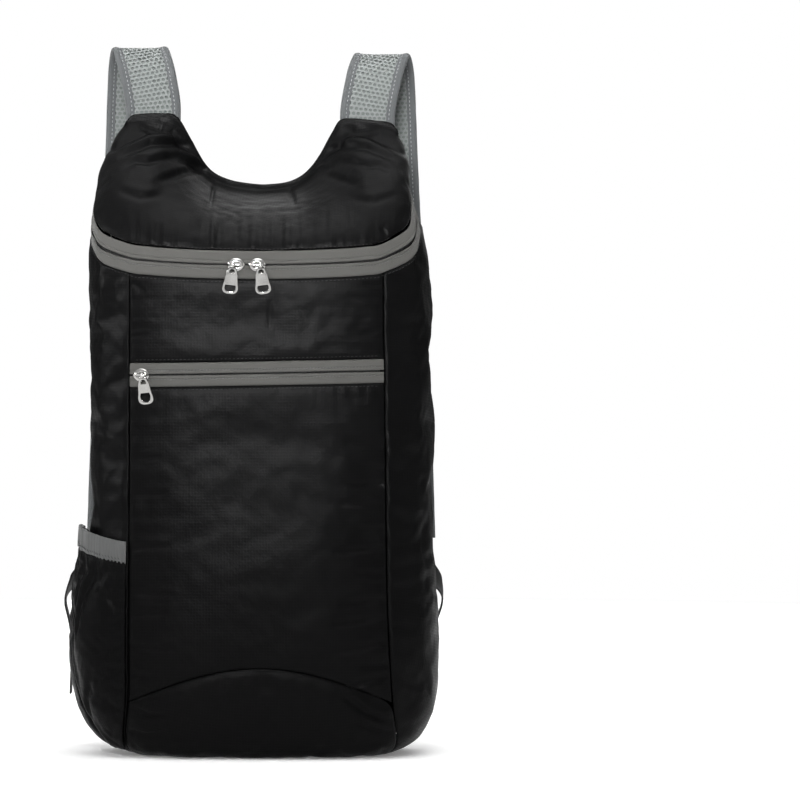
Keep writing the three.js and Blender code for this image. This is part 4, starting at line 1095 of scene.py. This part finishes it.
def joinAs(name, pieces):
    alone(pieces[0])
    for piece in pieces[1:]:
        piece.select_set(True)
    bpy.ops.object.join()
    made = bpy.context.object
    made.name = name
    made.data.name = name
    return made


binding = {"inner": 0.8 * mm, "stitchAt": 1.5 * mm, "pitch": 3.0 * mm, "pull": 0.22 * mm}


def bindingSection(strip, inwards):  # a band folded round the net's edge; inwards is the side of the net
    half, wall = strip.width / 2, strip.wall / 2

    def section(run):
        pull = binding["pull"] * (0.5 + 0.5 * math.cos(2 * math.pi * run / binding["pitch"]))
        sway = 0.15 * mm * noise.noise(Vector((run / (11 * mm), inwards, 0.5)))
        face = [(-half - binding["inner"], wall * 0.42), (-half - binding["inner"] + 0.3 * mm, wall * 0.72),
                (-half + 0.4 * mm, wall * 0.82 - pull), (-half + binding["stitchAt"], wall * 0.84 - pull),
                (-half + 2.6 * mm, wall * 0.97), (0.6 * mm, wall * 0.98), (half - 1.1 * mm, wall * 0.8),
                (half - 0.3 * mm, wall * 0.42), (half, 0.0)]
        under = [(a, -b) for a, b in reversed(face[:-1])]
        return [(-inwards * a + sway, b) for a, b in face + under]

    return section


def dressStrap(side):
    start = (0, 0, -1)
    pad = Strip(f"strap_pad_{side}", start, (0, 1, 0), (1, 0, 0))
    # the core sheet between the nets is the spacer's yarn layer, coloured dark as painted shade inside the holes
    core = bandOf("core", pad, lambda run: roundBand(pad.width, net["core"], 4), netCoreAndShade, 5 * mm)
    core.data.uv_layers.remove(core.data.uv_layers[0])
    piece = joinAs(f"net_pad_{side}", [netSheet("outer", pad, 1), netSheet("inner", pad, -1), core])
    settle(piece, "bag", "spacer_mesh", f"strap_pad_{side}")
    for place in ("inner", "outer"):
        node = f"strap_binding_{side}_{place}"
        strip = Strip(node, start, (0, 1, 0), (1, 0, 0))
        towardsNet = 1 if (side == "left") == (place == "outer") else -1
        edge = bandOf(f"bound_edge_{side}_{place}", strip, bindingSection(strip, towardsNet), bindingTape, 1.5 * mm)
        settle(edge, "bag", "edge_binding", node)
        marks = []
        for face in (1, -1):
            across = towardsNet * (strip.width / 2 - binding["stitchAt"])
            for spot, along, out in marksAlong(strip, across, face * strip.wall * 0.39, binding["pitch"]):
                marks.append((spot, along, out * face))
        stitchRow(f"binding_stitches_{side}_{place}", marks, 2.2 * mm, 0.26 * mm, paleThread, "edge_binding")


for side in ("left", "right"):
    dressStrap(side)
print("backpack: straps made")


def dressWebbing(side):
    out = -1 if side == "left" else 1
    for node, towards, face, wide in (
        (f"webbing_{side}", (0, 0, -1), (out, 0, 0), (0, 1, 0)),
        (f"anchor_loop_{side}", (-out, 0, 0), (0, 0, 1), (0, 1, 0)),
    ):
        strip = Strip(node, towards, face, wide, 1.5 * mm)
        section = roundBand(strip.width, strip.wall * 0.95, 6, 0.08 * mm)
        piece = bandOf("woven_" + node, strip, lambda run, points=section: points, webbingCloth, 1.3 * mm)
        settle(piece, "bag", "webbing", node)


lockShape = {"edge": 0.55 * mm, "ridges": 3, "ridge": 0.42 * mm, "ridgeStep": 1.15 * mm}


def dressLock(side):
    node = f"ladder_lock_{side}"
    shell = mergedCopy(node)
    bmesh.ops.dissolve_limit(shell, angle_limit=0.02, verts=shell.verts, edges=shell.edges)
    mesh = bpy.data.meshes.new(node)
    shell.to_mesh(mesh)
    shell.free()
    body = newPiece("moulded_" + node, mesh, acetal)
    useModifier(body, "BEVEL", width=lockShape["edge"], segments=3, limit_method="ANGLE", angle_limit=math.radians(40))
    low, high = (Vector(corner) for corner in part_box(node))
    face = low.x if side == "left" else high.x
    parts = [body]
    for k in range(lockShape["ridges"]):
        level = high.z - 1.4 * mm - k * lockShape["ridgeStep"]
        bpy.ops.object.select_all(action="DESELECT")
        bpy.ops.mesh.primitive_cylinder_add(vertices=12, radius=lockShape["ridge"], depth=(high.y - low.y) * 0.62,
                                            rotation=(math.pi / 2, 0, 0), location=(face, (low.y + high.y) / 2, level))
        bpy.ops.object.transform_apply(location=True, rotation=True, scale=True)
        ridge = bpy.context.object
        ridge.data.materials.append(acetal)
        useModifier(ridge, "BEVEL", width=0.2 * mm, segments=2, limit_method="ANGLE", angle_limit=math.radians(50))
        parts.append(ridge)
    piece = joinAs("moulded_" + node, parts)
    closeUp(piece, 35)
    settle(piece, "bag", "plastic", node)


for side in ("left", "right"):
    dressWebbing(side)
    dressLock(side)
print("backpack: webbing and locks made")

slider = {
    "length": 12.0 * mm, "height": 9.6 * mm, "edge": 1.0 * mm,
    "skirt": 1.9 * mm, "dome": 1.2 * mm, "rim": 0.5 * mm, "recess": 0.95 * mm,
    "seat": 0.7 * mm, "bar": 5.1 * mm, "reach": 4.6 * mm, "wire": 0.7 * mm, "wireSpread": 1.28,
    "eyeAt": 2.25 * mm, "waist": 0.2,
}
pull = {
    "rest": 8, "lean": 7, "wall": 1.3 * mm, "edge": 0.26 * mm,
    "eye": 1.9 * mm, "eyeWire": 0.42 * mm, "eyeSpread": 2.6,
}
pullOutline = [  # half of the outline, from the eye down, in millimetres
    (1.7, -1.1), (3.0, -3.2), (4.1, -6.4), (4.5, -9.6), (5.0, -13.0), (5.6, -16.4), (5.0, -19.2), (2.9, -20.7),
]
pullHoles = {
    "main": [[(-3.6, -14.6), (3.6, -14.6), (3.9, -16.3), (2.7, -18.5), (0.0, -19.3), (-2.7, -18.5), (-3.9, -16.3)],
             [(-1.9, -5.6), (1.9, -5.6), (1.5, -3.6), (0.0, -3.1), (-1.5, -3.6)]],
    "pocket": [[(-3.2, -12.8), (3.2, -12.8), (3.7, -15.2), (2.6, -18.2), (0.0, -19.5), (-2.6, -18.2), (-3.7, -15.2)],
               [(-2.0, -6.2), (2.0, -6.2), (1.5, -3.8), (0.0, -3.2), (-1.5, -3.8)]],
}


def selectFaces(piece, wanted):
    bpy.context.tool_settings.mesh_select_mode = (False, False, True)
    for group in (piece.data.vertices, piece.data.edges):
        for element in group:
            element.select = False
    for face in piece.data.polygons:
        face.select = wanted(face)


def wireOf(points, radius):
    curve = bpy.data.curves.new("wire", "CURVE")
    curve.dimensions = "3D"
    curve.bevel_depth, curve.bevel_resolution, curve.use_fill_caps = radius, 3, True
    curve.resolution_u = 4
    line = curve.splines.new("BEZIER")
    line.bezier_points.add(len(points) - 1)
    for point, place in zip(line.bezier_points, points):
        point.co = place
        point.handle_left_type = point.handle_right_type = "AUTO"
    made = bpy.data.objects.new("wire", curve)
    bpy.context.scene.collection.objects.link(made)
    alone(made)
    bpy.ops.object.convert(target="MESH")
    return bpy.context.object


def plateOf(outline, holes, wall, edge):  # a stamped plate in the XZ plane, its edges rounded
    curve = bpy.data.curves.new("plate", "CURVE")
    curve.dimensions, curve.fill_mode = "2D", "BOTH"
    curve.extrude, curve.bevel_depth, curve.bevel_resolution = wall / 2 - edge, edge, 2
    curve.offset = -edge
    curve.resolution_u = 5
    for ring in [outline] + holes:
        line = curve.splines.new("BEZIER")
        line.bezier_points.add(len(ring) - 1)
        line.use_cyclic_u = True
        for k, (point, (x, z)) in enumerate(zip(line.bezier_points, ring)):
            point.co = (x * mm, z * mm, 0)
            square = ring is not outline and k < 2
            point.handle_left_type = point.handle_right_type = "VECTOR" if square else "AUTO"
    made = bpy.data.objects.new("plate", curve)
    bpy.context.scene.collection.objects.link(made)
    alone(made)
    bpy.ops.object.convert(target="MESH")
    made = bpy.context.object
    made.data.transform(Matrix.Rotation(math.pi / 2, 4, "X"))
    return made


def modelSlider():
    bpy.ops.object.select_all(action="DESELECT")
    bpy.ops.mesh.primitive_cylinder_add(
        vertices=32, radius=1, depth=1, rotation=(math.pi / 2, 0, 0), location=(0, -slider["edge"] / 2, 0),
        scale=(slider["length"] / 2, slider["height"] / 2, slider["edge"]))
    body = bpy.context.object
    bpy.ops.object.transform_apply(location=True, rotation=True, scale=True)
    selectFaces(body, lambda face: face.normal.y < -0.9)
    bpy.ops.object.mode_set(mode="EDIT")
    for inwards, outwards in ((slider["skirt"], slider["dome"]), (slider["rim"], 0.12 * mm), (0.3 * mm, -slider["recess"])):
        bpy.ops.mesh.inset(thickness=inwards, depth=outwards)
    bpy.ops.object.mode_set(mode="OBJECT")
    for vertex in body.data.vertices:  # the plate narrows towards its nose
        share = max(0.0, vertex.co.x / (slider["length"] / 2))
        vertex.co.z *= 1 - slider["waist"] * share ** 2
    useModifier(body, "BEVEL", width=0.25 * mm, segments=3, limit_method="ANGLE", angle_limit=math.radians(24))
    reach, bar = slider["reach"], slider["bar"]
    arch = [(-reach, -0.9 * mm), (-reach, -bar + 2.2 * mm), (-reach + 0.35 * mm, -bar + 0.7 * mm), (-reach + 1.5 * mm, -bar),
            (0, -bar), (reach - 1.5 * mm, -bar), (reach - 0.35 * mm, -bar + 0.7 * mm), (reach, -bar + 2.2 * mm), (reach, -0.9 * mm)]
    bridge = wireOf([(x, y, 0) for x, y in arch], slider["wire"])
    for vertex in bridge.data.vertices:
        vertex.co.z *= slider["wireSpread"]
    return [body, bridge]


def modelPull(holes):
    outline = [(x, z) for x, z in pullOutline] + [(0.0, -21.0)] + [(-x, z) for x, z in reversed(pullOutline)]
    outline = list(reversed(outline))
    plate = plateOf(outline, holes, pull["wall"], pull["edge"])
    bpy.ops.object.select_all(action="DESELECT")
    bpy.ops.mesh.primitive_torus_add(major_radius=pull["eye"], minor_radius=pull["eyeWire"], major_segments=32,
                                     minor_segments=12, rotation=(0, math.pi / 2, 0))
    eye = bpy.context.object
    bpy.ops.object.transform_apply(location=True, rotation=True, scale=True)
    for vertex in eye.data.vertices:
        vertex.co.x *= pull["eyeSpread"]
    return [plate, eye]


def placeNickel(name, parts, matrix, body, node):
    for part in parts:
        part.data.materials.clear()
        part.data.materials.append(nickel)
    piece = joinAs(name, parts)
    piece.data.transform(matrix)
    closeUp(piece, 45)
    settle(piece, body, "nickel", node)


pullJoints = {joint["child"]: joint for joint in frame["record"]["behaviour"]["joints"]}


def dressSliders():
    for place, sliderNode, pullNode, nose in (
        ("main", "main_slider_left", "main_pull_left", 1),
        ("main", "main_slider_right", "main_pull_right", -1),
        ("pocket", "pocket_slider", "pocket_pull", -1),
    ):
        joint = pullJoints[pullNode]
        axis = Vector(joint["axis"])
        turn = Matrix.Rotation(math.atan2(-axis.y, -axis.x), 4, "Z")
        pivot = Vector(joint["pos_m"])
        foot = pivot - turn @ Vector((-nose * slider["eyeAt"], -slider["bar"], 0))
        flip = Matrix.Rotation(math.pi if nose < 0 else 0, 4, "Y")
        placeNickel("nickel_" + sliderNode, modelSlider(), Matrix.Translation(foot) @ turn @ flip, "bag", sliderNode)
        hang = Matrix.Rotation(math.radians(pull["rest"]), 4, "X") @ Matrix.Rotation(math.radians(pull["lean"] * nose), 4, "Y")
        placeNickel("nickel_" + pullNode, modelPull(pullHoles[place]), Matrix.Translation(pivot) @ turn @ hang, pullNode, pullNode)


dressSliders()
print("backpack: sliders and pulls made")

print("backpack: done")
